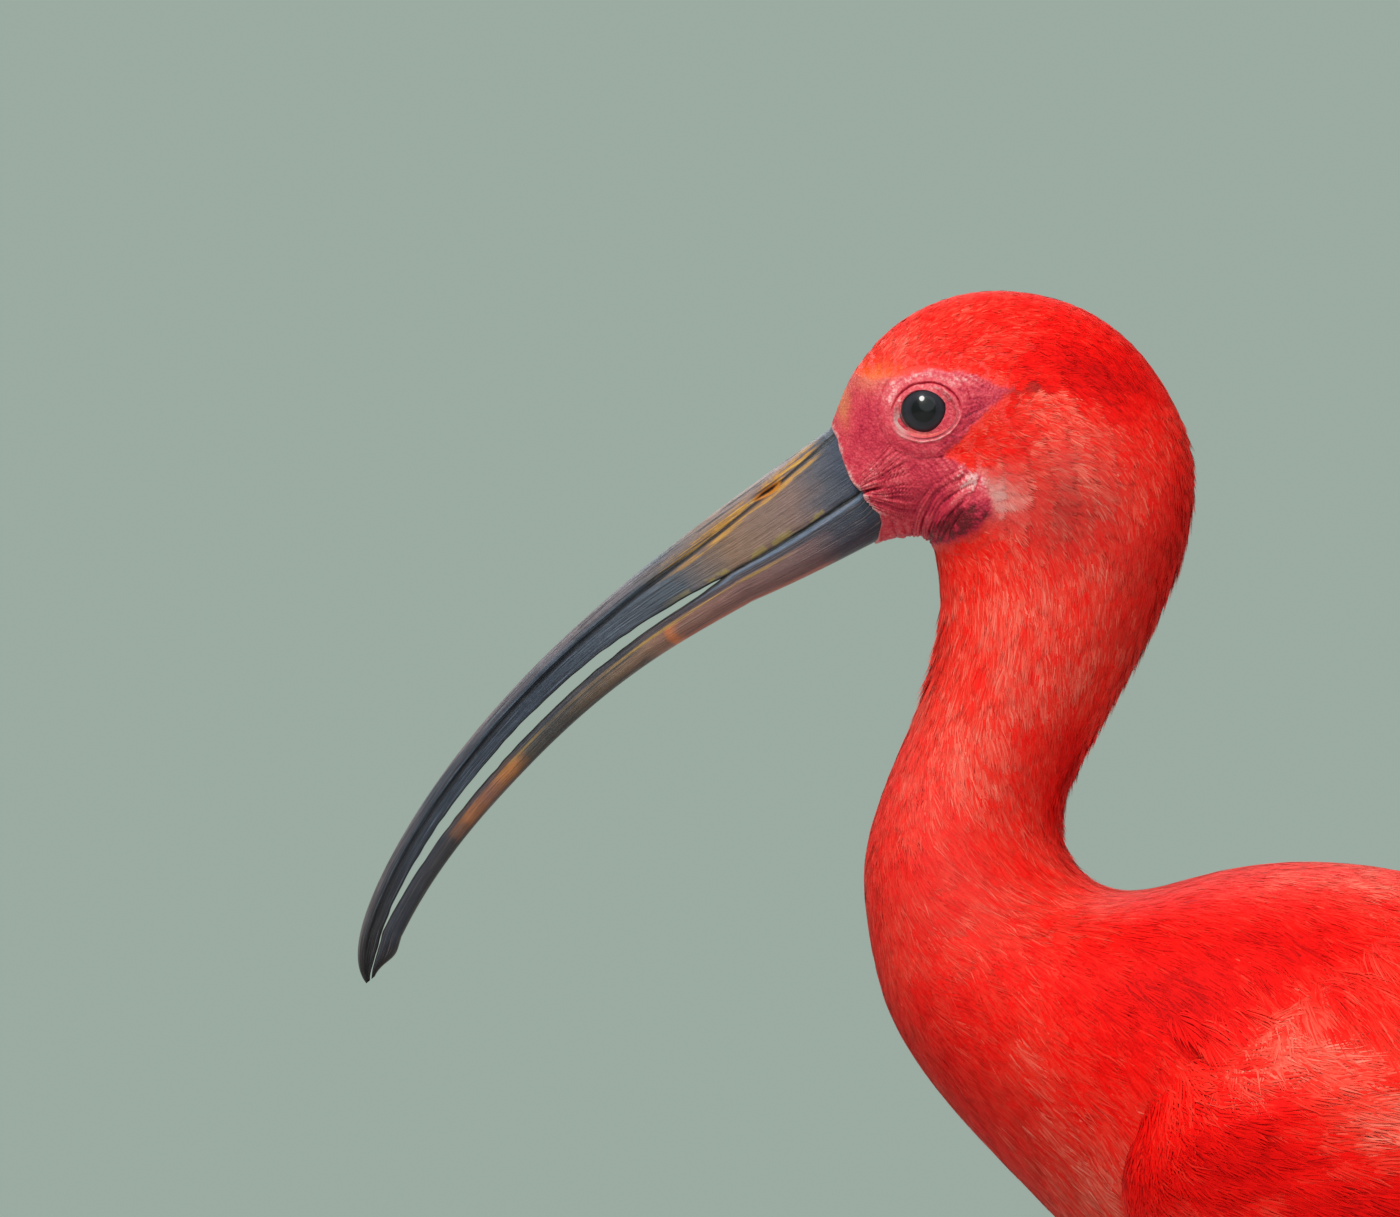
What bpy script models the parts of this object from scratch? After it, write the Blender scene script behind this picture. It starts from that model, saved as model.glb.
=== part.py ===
"""Scarlet ibis, life size, standing still with its neck drawn up and its head turned to neither side.

Metres, +Z up. The bird faces -X, its left side is at -Y, and the floor is z = 0.
The origin is on the floor, under the middle of the whole bird.
The head, neck and trunk are one lofted form, parted by thin plane cuts. Wings, tail and legs
are placed on that form, and each feather of a wing or the tail is a thin vane that overlaps its
neighbour. Named sizes are in millimetres, and the mesh functions turn them into metres.
"""

import math

import bmesh
import bpy
import numpy as np
from mathutils import Matrix, Vector

MM = 0.001
GAP = 0.3  # kept between pieces that touch
SIDES = {"left": -1, "right": 1}

# Lines of the body from the bill to the tail root, as a boat builder lofts a hull:
# dorsal x and z, ventral x and z, and half the breadth.
STATIONS = (
    (-107.5, 349.5, -99.0, 327.0, 8.4),
    (-100.5, 364.0, -93.0, 329.0, 11.8),
    (-87.5, 373.5, -89.5, 329.0, 14.3),
    (-72.5, 375.5, -88.0, 326.5, 15.6),
    (-57.5, 371.0, -87.5, 322.0, 16.3),
    (-45.5, 359.5, -87.0, 316.5, 16.6),
    (-39.0, 342.5, -87.5, 310.0, 16.8),
    (-42.0, 322.0, -90.0, 300.0, 17.0),
    (-53.0, 299.0, -95.5, 287.0, 17.5),
    (-62.5, 280.5, -100.0, 274.5, 18.2),
    (-62.0, 268.5, -101.5, 264.0, 20.0),
    (-52.0, 262.5, -100.0, 251.0, 24.0),
    (-37.0, 265.5, -95.5, 236.5, 31.5),
    (-19.0, 268.0, -83.5, 219.5, 39.5),
    (4.0, 265.5, -62.5, 197.5, 45.5),
    (30.0, 256.5, -31.0, 169.0, 48.0),
    (60.5, 242.5, 9.5, 151.5, 47.0),
    (90.5, 227.0, 53.0, 149.0, 41.0),
    (119.0, 212.0, 90.5, 158.5, 29.5),
    (141.5, 199.5, 119.0, 172.0, 18.0),
    # The last three carry only the wings, out past the trunk and over the tail.
    (159.5, 190.0, 147.0, 172.0, 16.0),
    (177.5, 179.0, 167.0, 163.0, 13.0),
    (196.0, 167.5, 188.0, 155.5, 9.5),
)
LOW_FULLNESS = 0.08  # how much fuller a section is below its middle than above
NECK_TOP = 5.5  # stations where the body is parted
NECK_MIDDLE = 9.0
NECK_ROOT = 11.5
TAIL_ROOT = 19.0

# The swollen fold of bare skin from the gape back under the eye
MALAR_FROM = (0.5, 128.0)  # station and angle in degrees from the dorsal line
MALAR_TO = (4.3, 116.0)
MALAR_HEIGHT = 0.9
MALAR_SPREAD = 9.0  # degrees

BILL_LENGTH = 142.5  # along the curve of the ridge
BILL_HEADING = 35.5  # degrees below level at the base
BILL_BEND = 39.0  # how much further it points down near the tip
BILL_HOOK = 55.0  # the last millimetres turn down further still
BILL_BEND_POWER, BILL_HOOK_POWER = 2, 26
BILL_STEPS = 800  # pieces that the curve is summed in
BILL_PLACES = (0.0, 0.2, 0.35, 0.5, 0.65, 0.75, 0.85, 0.93, 0.98, 1.0)
UPPER_HEIGHT = (13.6, 11.4, 8.1, 6.1, 5.2, 4.7, 4.3, 3.8, 2.4, 0.9)
LOWER_HEIGHT = (9.2, 6.5, 5.4, 4.6, 4.1, 3.7, 3.5, 3.6, 2.6, 0.9)
BILL_HALF_WIDTH = (7.9, 6.2, 4.9, 4.0, 3.4, 3.1, 2.9, 2.7, 1.7, 0.7)
GAPE = 0.3  # between the two halves of the bill at the base and the tip
GAPE_MIDDLE = 2.0  # how much wider it is at the middle of the open stretch
GAPE_FROM, GAPE_TO = 0.22, 0.92
GAPE_FULLNESS = 0.8
BASE_EASE = 0.25  # share of the length over which its sections turn from the face's plane
UPPER_ROUNDING = 2.6  # power that bends the upper half's sides over to its ridge
GROOVE_DEPTH = 0.14  # of the half width
GROOVE_LIP = 0.07  # of the height, from the groove's bottom to its lips
GROOVE_FROM, GROOVE_TO = 0.01, 0.97
GROOVE_FULLNESS = 0.4
# Where the groove runs up the side of the upper half: shares of its length, and of its height there
GROOVE_PLACES, GROOVE_HEIGHTS = (0.0, 0.12, 0.25, 0.5, 1.0), (0.9, 0.76, 0.66, 0.56, 0.5)
# The lower half's cross-section, from its edge round one side: shares of its half width and height
LOWER_SECTION = ((0.93, 1.0), (1.0, 0.7), (0.88, 0.32), (0.55, 0.07))

NOSTRIL_AT = (-119.3, 337.5)  # x and z of its middle
NOSTRIL_LENGTH, NOSTRIL_WIDTH, NOSTRIL_DEPTH = 6.2, 1.3, 2.2
NOSTRIL_OUT = 6.4  # of its middle, from the bill's middle plane
NOSTRIL_SLOPE = 33.0  # degrees

EYE_AT = (-90.0, 352.7)  # x and z of the middle of what shows
EYE_RADIUS = 5.6
EYE_RINGS = (-12.0, 12.0, 32.0, 50.0, 66.0, 80.0)  # degrees up the dome
EYE_DEPTH = 3.7  # of the lid's edge from the eyeball's centre
EYE_FORWARD = 0.12  # how far the eye's axis leans to the bill
LID_RADIUS, LID_THICKNESS = 4.9, 0.9
MOUTH_CORNER = (-96.8, 338.6)  # x and z where the line of the mouth ends

# A folded wing, by stations of the body: degrees from the dorsal line to its upper and lower edges
WING_STATIONS = (13.75, 14.0, 14.5, 15.0, 16.0, 17.0, 18.0, 19.0, 20.0, 22.0)
WING_UPPER = (88.0, 66.0, 43.0, 28.0, 13.0, 9.0, 10.0, 14.0, 23.0, 44.0)
WING_LOWER = (114.0, 134.0, 144.0, 141.0, 134.0, 130.0, 128.0, 122.0, 112.0, 92.0)
WING_LIFT = 1.2  # between the trunk and the wing
WING_CORE_LENGTH = 152.0
WING_CROWDING = 1.5  # power that draws the slab's sections together towards its front
WING_EDGE = 0.7  # thickness of the slab's rim
WING_THICKNESS = 5.0  # what the middle adds to it
FEATHER = 0.5  # thickness of a vane
LAYER = 0.85  # between the middles of vanes that lie over one another
ROOT_SINK = 0.9  # how deep a vane starts in the slab that carries it
LEAST_ANGLE = 2.0  # keeps the wings off each other along the back
# Rows of feathers from the front back: how far behind the front edge they are rooted, the first and
# last place down the wing, how many, length of the first and last, and how far their tips lift
WING_ROWS = {
    "lesser_front": (3.0, 0.2, 0.84, 5, 24.0, 22.0, 2.2),
    "lesser_back": (19.0, 0.19, 0.87, 5, 27.0, 24.0, 2.3),
    "median": (37.0, 0.19, 0.9, 6, 31.0, 27.0, 2.4),
    "greater": (57.0, 0.18, 0.93, 7, 40.0, 35.0, 2.6),
    "secondary": (84.0, 0.1, 0.88, 7, 104.0, 84.0, 2.4),
    "scapular": (18.0, 0.05, 0.17, 2, 40.0, 38.0, 3.4),
    "scapular_back": (45.0, 0.05, 0.17, 2, 48.0, 42.0, 3.6),
}
LONG_VANE = 60.0  # a vane longer than this has one more section
VANE_REACH = 0.58  # half a vane's width, as a share of the distance to its neighbour
LEAST_HALF_WIDTH = 3.6
PRIMARY_COUNT = 5
PRIMARY_ROOT = 132.0
PRIMARY_TIP = 243.0  # of the longest, mm behind the wing's front
PRIMARY_STEP = 10.0
PRIMARY_PLACES = (0.74, 0.5)  # down the wing, at the root and at the tip
PRIMARY_SHIFT = 0.03  # how much higher up the wing each one lies than the one under it
PRIMARY_HALF_WIDTH = 7.5
TAIL_SLOPE = 27.0  # degrees below level
TAIL_AT = (131.0, 184.0)
TAIL_PAIRS = 6
TAIL_LENGTH = 73.0
TAIL_STEP = 1.5  # how much shorter each pair is than the one inside it
TAIL_PITCH = (1.7, 5.0)  # between feathers, at their roots and tips
TAIL_HALF_WIDTH = 5.8
TAIL_ARCH = 0.006  # fall per mm across, squared
# Sections of the plug that carries the tail feathers: mm along it, half width and half height
TAIL_PLUG = ((8.0, 16.0, 13.0), (18.0, 14.5, 9.4), (30.0, 13.0, 6.0), (42.0, 12.0, 3.7))

HIP = (14.0, 23.5, 172.0)
ANKLE = (45.0, 24.0, 93.0)
FOOT_X = 30.0
FOOT_RISE = 3.0
FOOT_STAGGER = 10.0  # the left foot stands this far ahead of the middle, the right one behind it
THIGH_END = 0.62  # of the way from hip to ankle, where the feathers end
LEG_PLACES = (0.0, 0.25, 0.42, 0.56, 0.64, 0.78, 0.9, 1.0)
LEG_FORE_RADIUS = (25.0, 20.0, 13.5, 8.6, 4.6, 3.9, 4.6, 6.0)
LEG_SIDE_RADIUS = (9.5, 10.0, 8.8, 6.8, 4.4, 3.6, 4.0, 5.2)
TARSUS_PLACES = (0.0, 0.08, 0.2, 0.5, 0.8, 0.93, 1.0)
TARSUS_FORE_RADIUS = (6.2, 5.2, 3.6, 3.1, 3.2, 4.2, 4.6)
TARSUS_SIDE_RADIUS = (5.2, 4.4, 3.1, 2.7, 2.9, 3.8, 4.4)
ANKLE_END = 0.09  # of the way from ankle to foot
TARSUS_END = 0.9

# Toes: length without the claw, degrees from straight ahead (positive to the midline), half width, joints
TOES = {
    "middle": (54.0, -6.0, 3.3, 3),
    "inner": (39.0, 26.0, 3.0, 2),
    "outer": (45.0, -42.0, 3.0, 3),
    "hind": (19.0, 172.0, 2.7, 1),
}
TOE_RINGS = 8
TOE_TAPER = 0.38
JOINT_SWELL = 0.13
TOE_HEIGHT = 1.75  # of its half width
CLAW_LENGTH = 9.0
HIND_CLAW = 0.85  # of the others' length
CLAW_HALF_WIDTH = 0.53  # of its toe's
SOLE_PAD = (7.5, 6.5, 6.3)  # half its length, half its width, and its height
SOLE_NARROWING = 0.55


def spline(knots, values):
    """The natural cubic spline through values at knots, as a function."""
    knots = np.asarray(knots, float)
    values = np.asarray(values, float)
    count = len(knots)
    steps = np.diff(knots)
    flat = values.reshape(count, -1)
    matrix = np.eye(count)
    right = np.zeros_like(flat)
    for i in range(1, count - 1):
        matrix[i, i - 1 : i + 2] = steps[i - 1], 2 * (steps[i - 1] + steps[i]), steps[i]
        right[i] = 6 * ((flat[i + 1] - flat[i]) / steps[i] - (flat[i] - flat[i - 1]) / steps[i - 1])
    bends = np.linalg.solve(matrix, right)

    def at(place):
        i = int(np.clip(np.searchsorted(knots, place, side="right") - 1, 0, count - 2))
        a = (knots[i + 1] - place) / steps[i]
        b = 1 - a
        curve = (a**3 - a) * bends[i] + (b**3 - b) * bends[i + 1]
        found = a * flat[i] + b * flat[i + 1] + curve * steps[i] ** 2 / 6
        return found if values.ndim > 1 else float(found[0])

    return at


body_line = spline(range(len(STATIONS)), STATIONS)
wing_upper = spline(WING_STATIONS, WING_UPPER)
wing_lower = spline(WING_STATIONS, WING_LOWER)


def body_at(u, angle):
    """A point of the body's side at +Y, in mm: station u, and angle in degrees from the dorsal line."""
    dorsal_x, dorsal_z, ventral_x, ventral_z, half = body_line(u)
    c = math.cos(math.radians(angle))
    s = math.sin(math.radians(angle))
    x = (dorsal_x + ventral_x) / 2 + (dorsal_x - ventral_x) / 2 * c
    z = (dorsal_z + ventral_z) / 2 + (dorsal_z - ventral_z) / 2 * c
    return np.array((x, half * s * (1 - LOW_FULLNESS * c), z))


def body_frame(u, angle):
    """A point of the body, its outward normal, and its steps for one station and for one degree."""
    along = (body_at(u + 0.02, angle) - body_at(u - 0.02, angle)) / 0.04
    around = (body_at(u, angle + 0.5) - body_at(u, angle - 0.5)) / 1.0
    normal = np.cross(along, around)
    return body_at(u, angle), normal / np.linalg.norm(normal), along, around


def section_normal(u):
    """The normal of the flat section at station u, towards the tail."""
    dorsal_x, dorsal_z, ventral_x, ventral_z, _ = body_line(u)
    across = np.array((dorsal_x - ventral_x, dorsal_z - ventral_z))
    across /= np.linalg.norm(across)
    return np.array((across[1], 0.0, -across[0]))


def malar_lift(u, angle):
    """The height in mm of the fold under the eye."""
    share = (u - MALAR_FROM[0]) / (MALAR_TO[0] - MALAR_FROM[0])
    middle = MALAR_FROM[1] + (MALAR_TO[1] - MALAR_FROM[1]) * share
    fade = max(0.0, math.sin(math.pi * min(max(share + 0.12, 0.0), 1.12) / 1.12))
    return MALAR_HEIGHT * fade * math.exp(-(((angle - middle) / MALAR_SPREAD) ** 2))


def body_ring(u, count, shift=0.0, grow=0.0, relief=False):
    """One section of the body: count points, moved along the body by shift and outwards by grow."""
    slide = section_normal(u) * shift
    points = []
    for i in range(count):
        turn = 360 * i / count
        angle = turn if turn <= 180 else 360 - turn
        point = body_at(u, angle) + slide
        lift = grow + (malar_lift(u, angle) if relief else 0.0)
        if lift:
            point = point + body_frame(u, max(angle, 1e-3))[1] * lift
        if turn > 180:
            point[1] = -point[1]
        points.append(point)
    return points


def new_object(name, mesh, material=None):
    """An object of this mesh in the scene, with its material."""
    thing = bpy.data.objects.new(name, mesh)
    if material:
        mesh.materials.append(material)
    bpy.context.scene.collection.objects.link(thing)
    return thing


def face_outwards(mesh):
    """Turn every face of a closed mesh outwards."""
    build = bmesh.new()
    build.from_mesh(mesh)
    bmesh.ops.recalc_face_normals(build, faces=build.faces)
    build.to_mesh(mesh)
    build.free()


def loft(name, rings, material=None):
    """A closed solid through rings of points in mm, with a flat cap at each end."""
    count = len(rings[0])
    points = [tuple(np.asarray(p) * MM) for ring in rings for p in ring]
    faces = [tuple(range(count)), tuple(range((len(rings) - 1) * count, len(rings) * count))]
    for i in range(len(rings) - 1):
        for j in range(count):
            k = (j + 1) % count
            a, b = i * count, (i + 1) * count
            faces.append((a + j, a + k, b + k, b + j))
    mesh = bpy.data.meshes.new(name)
    mesh.from_pydata(points, [], faces)
    face_outwards(mesh)
    return new_object(name, mesh, material)


def sheet(name, grid, ups, thickness, material=None):
    """A closed sheet round a grid of points in mm, split into triangles alike on both faces.

    grid[i][j] are points, ups[i][j] the unit vectors to the outer face, thickness[i][j] in mm.
    """
    grid, ups = np.asarray(grid), np.asarray(ups)
    half = np.asarray(thickness)[..., None] / 2
    rows, columns = grid.shape[:2]
    outer = (grid + ups * half).reshape(-1, 3)
    inner = (grid - ups * half).reshape(-1, 3)
    total = rows * columns
    faces = []
    for i in range(rows - 1):
        for j in range(columns - 1):
            a, b = i * columns + j, (i + 1) * columns + j
            for one in ((a, a + 1, b + 1), (a, b + 1, b)):
                faces += [one, tuple(total + k for k in reversed(one))]
    rim = [j for j in range(columns)]
    rim += [i * columns + columns - 1 for i in range(1, rows)]
    rim += [(rows - 1) * columns + j for j in reversed(range(columns - 1))]
    rim += [i * columns for i in reversed(range(1, rows - 1))]
    for a, b in zip(rim, rim[1:] + rim[:1]):
        faces += [(a, total + b, b), (a, total + a, total + b)]
    mesh = bpy.data.meshes.new(name)
    mesh.from_pydata([tuple(p * MM) for p in np.vstack((outer, inner))], [], faces)
    face_outwards(mesh)
    return new_object(name, mesh, material)


def keep_largest(mesh):
    """Leave only the largest closed surface of a mesh."""
    build = bmesh.new()
    build.from_mesh(mesh)
    build.faces.ensure_lookup_table()
    seen, islands = set(), []
    for face in build.faces:
        if face.index in seen:
            continue
        seen.add(face.index)
        island, waiting = [], [face]
        while waiting:
            one = waiting.pop()
            island.append(one)
            for edge in one.edges:
                for other in edge.link_faces:
                    if other.index not in seen:
                        seen.add(other.index)
                        waiting.append(other)
        islands.append(island)
    islands.sort(key=lambda island: sum(face.calc_area() for face in island))
    spare = [face for island in islands[:-1] for face in island]
    bmesh.ops.delete(build, geom=spare, context="FACES")
    build.to_mesh(mesh)
    build.free()


def combine(target, pieces, operation):
    """Join pieces to target, or cut them from it, in one Boolean, and remove them."""
    group = bpy.data.collections.new("pieces")
    bpy.context.scene.collection.children.link(group)
    for piece in pieces:
        group.objects.link(piece)
    modifier = target.modifiers.new("combine", "BOOLEAN")
    modifier.operand_type = "COLLECTION"
    modifier.collection = group
    modifier.operation = operation
    modifier.solver = "EXACT"
    bpy.context.view_layer.update()
    graph = bpy.context.evaluated_depsgraph_get()
    result = bpy.data.meshes.new_from_object(target.evaluated_get(graph))
    target.modifiers.clear()
    target.data = result
    for piece in list(group.objects):
        bpy.data.objects.remove(piece)
    bpy.data.collections.remove(group)
    keep_largest(result)
    return target


def paint(name, colour, roughness):
    """A plain material."""
    material = bpy.data.materials.new(name)
    material.use_nodes = True
    shader = material.node_tree.nodes["Principled BSDF"]
    shader.inputs["Base Color"].default_value = (*colour, 1.0)
    shader.inputs["Roughness"].default_value = roughness
    shader.inputs["Metallic"].default_value = 0.0
    return material


def body_piece(name, start, end, steps, count, material=None, relief=False, grow=0.0):
    """A length of the body from station start to station end, short of both cuts by half the gap.

    One that is grown is a cutter, which goes past both cuts by half the gap.
    """
    shifts = [0.0] * (steps + 1)
    shifts[0], shifts[-1] = (-GAP / 2, GAP / 2) if grow else (GAP / 2, -GAP / 2)
    rings = []
    for i, shift in enumerate(shifts):
        u = start + (end - start) * i / steps
        rings.append(body_ring(u, count, shift, grow, relief))
    return loft(name, rings, material)


def make_torso(name, material=None, grow=0.0):
    """The trunk, or a slightly larger one that cuts room for itself from its neighbours."""
    return body_piece(name, NECK_ROOT, TAIL_ROOT, 15, 32, material, grow=grow)


def clear_of_torso(target):
    """Cut target back to the gap from the trunk."""
    return combine(target, [make_torso("trunk_cutter", grow=GAP + 0.05)], "DIFFERENCE")


def eye_axis(side):
    """The direction that an eye looks in."""
    return Vector((-EYE_FORWARD, side, 0.0)).normalized()


def eye_centre(side):
    """The centre of an eyeball, set so that the lid's edge lies on the skin."""
    u, angle = find_on_side(*EYE_AT)
    skin = body_at(u, angle)
    skin[1] *= side
    return Vector(skin) - eye_axis(side) * EYE_DEPTH


def find_on_side(x, z):
    """The head's station and angle that show at x, z in a side view."""
    near = []
    for u in np.linspace(0.0, 6.0, 241):
        dorsal_x, dorsal_z, ventral_x, ventral_z, _ = body_line(u)
        down = np.array((ventral_x - dorsal_x, ventral_z - dorsal_z))
        offset = np.array((x - dorsal_x, z - dorsal_z))
        share = offset @ down / (down @ down)
        miss = np.linalg.norm(offset - down * share)
        if 0 < share < 1:
            near.append((miss, u, math.degrees(math.acos(1 - 2 * share))))
    return min(near)[1:]


def eye_dome(name, side, grow=0.0, material=None):
    """The front of an eyeball, domed, with a flat back just behind its middle."""
    turn = eye_axis(side).to_track_quat("Z", "Y").to_matrix()
    rings = []
    for tilt in EYE_RINGS:
        reach = (EYE_RADIUS + grow) * math.cos(math.radians(tilt))
        height = (EYE_RADIUS + grow) * math.sin(math.radians(tilt))
        ring = []
        for i in range(16):
            around = 2 * math.pi * i / 16
            local = Vector((reach * math.cos(around), reach * math.sin(around), height))
            ring.append(eye_centre(side) + turn @ local)
        rings.append(ring)
    dome = loft(name, rings, material)
    dome.data.shade_smooth()
    return dome


def hoop(name, centre, axis, radius, thickness, around=16, section=6):
    """A closed round ring, in mm, about an axis."""
    turn = Vector(axis).to_track_quat("Z", "Y").to_matrix()
    mesh = bpy.data.meshes.new(name)
    points, faces = [], []
    for i in range(around):
        a = 2 * math.pi * i / around
        for j in range(section):
            b = 2 * math.pi * j / section
            reach = radius + thickness * math.cos(b)
            local = Vector((reach * math.cos(a), reach * math.sin(a), thickness * math.sin(b)))
            points.append((Vector(centre) + turn @ local) * MM)
            k, m = (i + 1) % around, (j + 1) % section
            faces.append((i * section + j, k * section + j, k * section + m, i * section + m))
    mesh.from_pydata(points, [], faces)
    face_outwards(mesh)
    return new_object(name, mesh)


def slab(name, centre, size, rotation):
    """A box of this size in mm about a centre, turned by a matrix."""
    mesh = bpy.data.meshes.new(name)
    build = bmesh.new()
    bmesh.ops.create_cube(build, size=1.0)
    stretch = Matrix.Diagonal((*[v * MM for v in size], 1))
    place = Matrix.Translation(Vector(centre) * MM) @ rotation.to_4x4() @ stretch
    bmesh.ops.transform(build, matrix=place, verts=build.verts)
    build.to_mesh(mesh)
    build.free()
    return new_object(name, mesh)


def mouth_cut():
    """The slit that carries the line of the mouth on past the bill's base."""
    start = bill_line(0.0)[0] + bill_line(0.0)[1] * (UPPER_HEIGHT[0] + GAPE / 2)
    corner = np.array(MOUTH_CORNER)
    way = (corner - start) / np.linalg.norm(corner - start)
    length = np.linalg.norm(corner - start) + 1.0
    middle = start + way * (length / 2 - 1.0)
    turn = Matrix.Rotation(-math.atan2(way[1], way[0]), 3, "Y")
    return slab("mouth", (middle[0], 0, middle[1]), (length, 40.0, 0.7), turn)


def make_head(skin):
    head = body_piece("head", 0.0, NECK_TOP, 22, 28, skin, relief=True)
    lids, sockets = [], []
    for side in SIDES.values():
        rim = eye_centre(side) + eye_axis(side) * (EYE_DEPTH + 0.2)
        lids.append(hoop("lid", rim, eye_axis(side), LID_RADIUS, LID_THICKNESS))
        sockets.append(eye_dome("socket", side, GAP))
    combine(head, lids, "UNION")
    combine(head, [*sockets, mouth_cut()], "DIFFERENCE")
    return head


def bill_line(share):
    """Point of the bill's ridge, the direction down its depth, and its own direction, all as x and z in mm."""
    at = np.array(STATIONS[0][:2])
    for i in range(round(share * BILL_STEPS)):
        at = at + bill_direction((i + 0.5) / BILL_STEPS) * BILL_LENGTH / BILL_STEPS
    way = bill_direction(share)
    down = np.array((-way[1], way[0]))
    base = np.array(STATIONS[0][2:4]) - np.array(STATIONS[0][:2])
    base = base / np.linalg.norm(base)
    ease = min(share / BASE_EASE, 1.0)
    down = base * (1 - ease) + down * ease
    return at, down / np.linalg.norm(down), way


def bill_direction(share):
    """Where the ridge of the bill points at this share of its length."""
    turn = BILL_BEND * share**BILL_BEND_POWER + BILL_HOOK * share**BILL_HOOK_POWER
    heading = math.radians(BILL_HEADING + turn)
    return np.array((-math.cos(heading), -math.sin(heading)))


upper_height = spline(BILL_PLACES, UPPER_HEIGHT)
lower_height = spline(BILL_PLACES, LOWER_HEIGHT)
bill_half_width = spline(BILL_PLACES, BILL_HALF_WIDTH)


def gape(share):
    """The opening between the two halves of the bill."""
    middle = min(max((share - GAPE_FROM) / (GAPE_TO - GAPE_FROM), 0.0), 1.0)
    return GAPE + GAPE_MIDDLE * math.sin(math.pi * middle) ** GAPE_FULLNESS


def upper_section(share):
    """Corners of one side of the upper half: share of the half width and of the height, and the inset there."""
    groove = float(np.interp(share, GROOVE_PLACES, GROOVE_HEIGHTS))
    above = 1 - groove
    ridge = [groove + above * part for part in (0.75, 0.4, GROOVE_LIP * 2)]
    heights = [*ridge, groove, groove - GROOVE_LIP, groove * 0.4, 0.0]
    open_share = min(max((share - GROOVE_FROM) / (GROOVE_TO - GROOVE_FROM), 0.0), 1.0)
    depth = GROOVE_DEPTH * math.sin(math.pi * open_share) ** GROOVE_FULLNESS
    insets = (0.0, 0.0, 0.0, depth, 0.0, 0.0, 0.04)
    return [((1 - h**UPPER_ROUNDING) ** 0.5 - inset, h) for h, inset in zip(heights, insets)]


def bill_ring(share, lower):
    """One section of half of the bill, from its middle line above round to the same place."""
    ridge, down, _ = bill_line(share)
    width = bill_half_width(share)
    top = np.array((ridge[0], 0.0, ridge[1]))
    drop = np.array((down[0], 0.0, down[1]))
    if share == 0.0:
        top = top - section_normal(0.0) * GAP / 2
    if lower:
        top = top + drop * (upper_height(share) + gape(share))
        height, section, ends = lower_height(share), LOWER_SECTION, (0.94, 0.0)
    else:
        height, section, ends = upper_height(share), upper_section(share), (1.0, 0.02)

    def place(across, up):
        return top + drop * height * (1 - up) + np.array((0.0, across * width, 0.0))

    side = [place(*corner) for corner in section]
    other = [point * (1, -1, 1) for point in reversed(side)]
    return [place(0.0, ends[0]), *side, place(0.0, ends[1]), *other]


def make_bill(name, lower, material):
    places = [0.0, 0.02, *np.linspace(0.07, 0.9, 16), 0.93, 0.96, 0.98, 0.993, 1.0]
    return loft(name, [bill_ring(share, lower) for share in places], material)


def nostril(side):
    """A slit cutter for one nostril."""
    turn = Matrix.Rotation(math.radians(-NOSTRIL_SLOPE), 3, "Y")
    mesh = bpy.data.meshes.new("nostril")
    build = bmesh.new()
    bmesh.ops.create_icosphere(build, subdivisions=2, radius=1.0)
    size = Matrix.Diagonal((NOSTRIL_LENGTH / 2 * MM, NOSTRIL_DEPTH * MM, NOSTRIL_WIDTH / 2 * MM, 1))
    at = Vector((NOSTRIL_AT[0], side * NOSTRIL_OUT, NOSTRIL_AT[1])) * MM
    bmesh.ops.transform(build, matrix=Matrix.Translation(at) @ turn.to_4x4() @ size, verts=build.verts)
    build.to_mesh(mesh)
    build.free()
    return new_object("nostril", mesh)


def flank_stations():
    """Arc length along the middle of the flank, and the station at each length."""
    stations = np.linspace(WING_STATIONS[0], WING_STATIONS[-1], 166)
    points = np.array([body_at(u, 90.0) for u in stations])
    steps = np.linalg.norm(np.diff(points, axis=0), axis=1)
    return np.concatenate(([0.0], np.cumsum(steps))), stations


FLANK_LENGTH, FLANK_STATION = flank_stations()


def wing_place(s, b):
    """Station and angle of the place s mm behind a folded wing's front and b of the way down it."""
    u = float(np.interp(s, FLANK_LENGTH, FLANK_STATION))
    return u, wing_upper(u) + (wing_lower(u) - wing_upper(u)) * b


def wing_depth(s, b):
    """How far the wing's outer face stands off the trunk, in mm."""
    front = min(1.0, 0.25 + s / 16)
    back = 1.0 - 0.72 * min(1.0, max(0.0, (s - 50) / 150))
    return WING_LIFT + WING_EDGE + WING_THICKNESS * front * back * math.sin(math.pi * min(max(b, 0.0), 1.0)) ** 0.6


def wing_body(name, side, length, rows, columns, material=None):
    """The folded arm and the bases of its feathers, as one curved slab against the flank."""
    grid, ups, thickness = [], [], []
    for s in length * np.linspace(0.0, 1.0, rows) ** WING_CROWDING:
        line, up_line, depth_line = [], [], []
        for b in np.linspace(0.0, 1.0, columns):
            point, normal, _, _ = body_frame(*wing_place(s, b))
            depth = wing_depth(s, b)
            middle = (point + normal * (depth + WING_LIFT) / 2) * (1, side, 1)
            line.append(middle)
            up_line.append(normal * (1, side, 1))
            depth_line.append(depth - WING_LIFT)
        grid.append(line)
        ups.append(up_line)
        thickness.append(depth_line)
    return sheet(name, grid, ups, thickness, material)


def vane_width(share):
    """A flight feather's width along its length, from a narrow base to a rounded tip."""
    return float(np.interp(share, (0.0, 0.3, 0.75, 0.93, 1.0), (0.55, 0.95, 1.0, 0.72, 0.28)))


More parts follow.
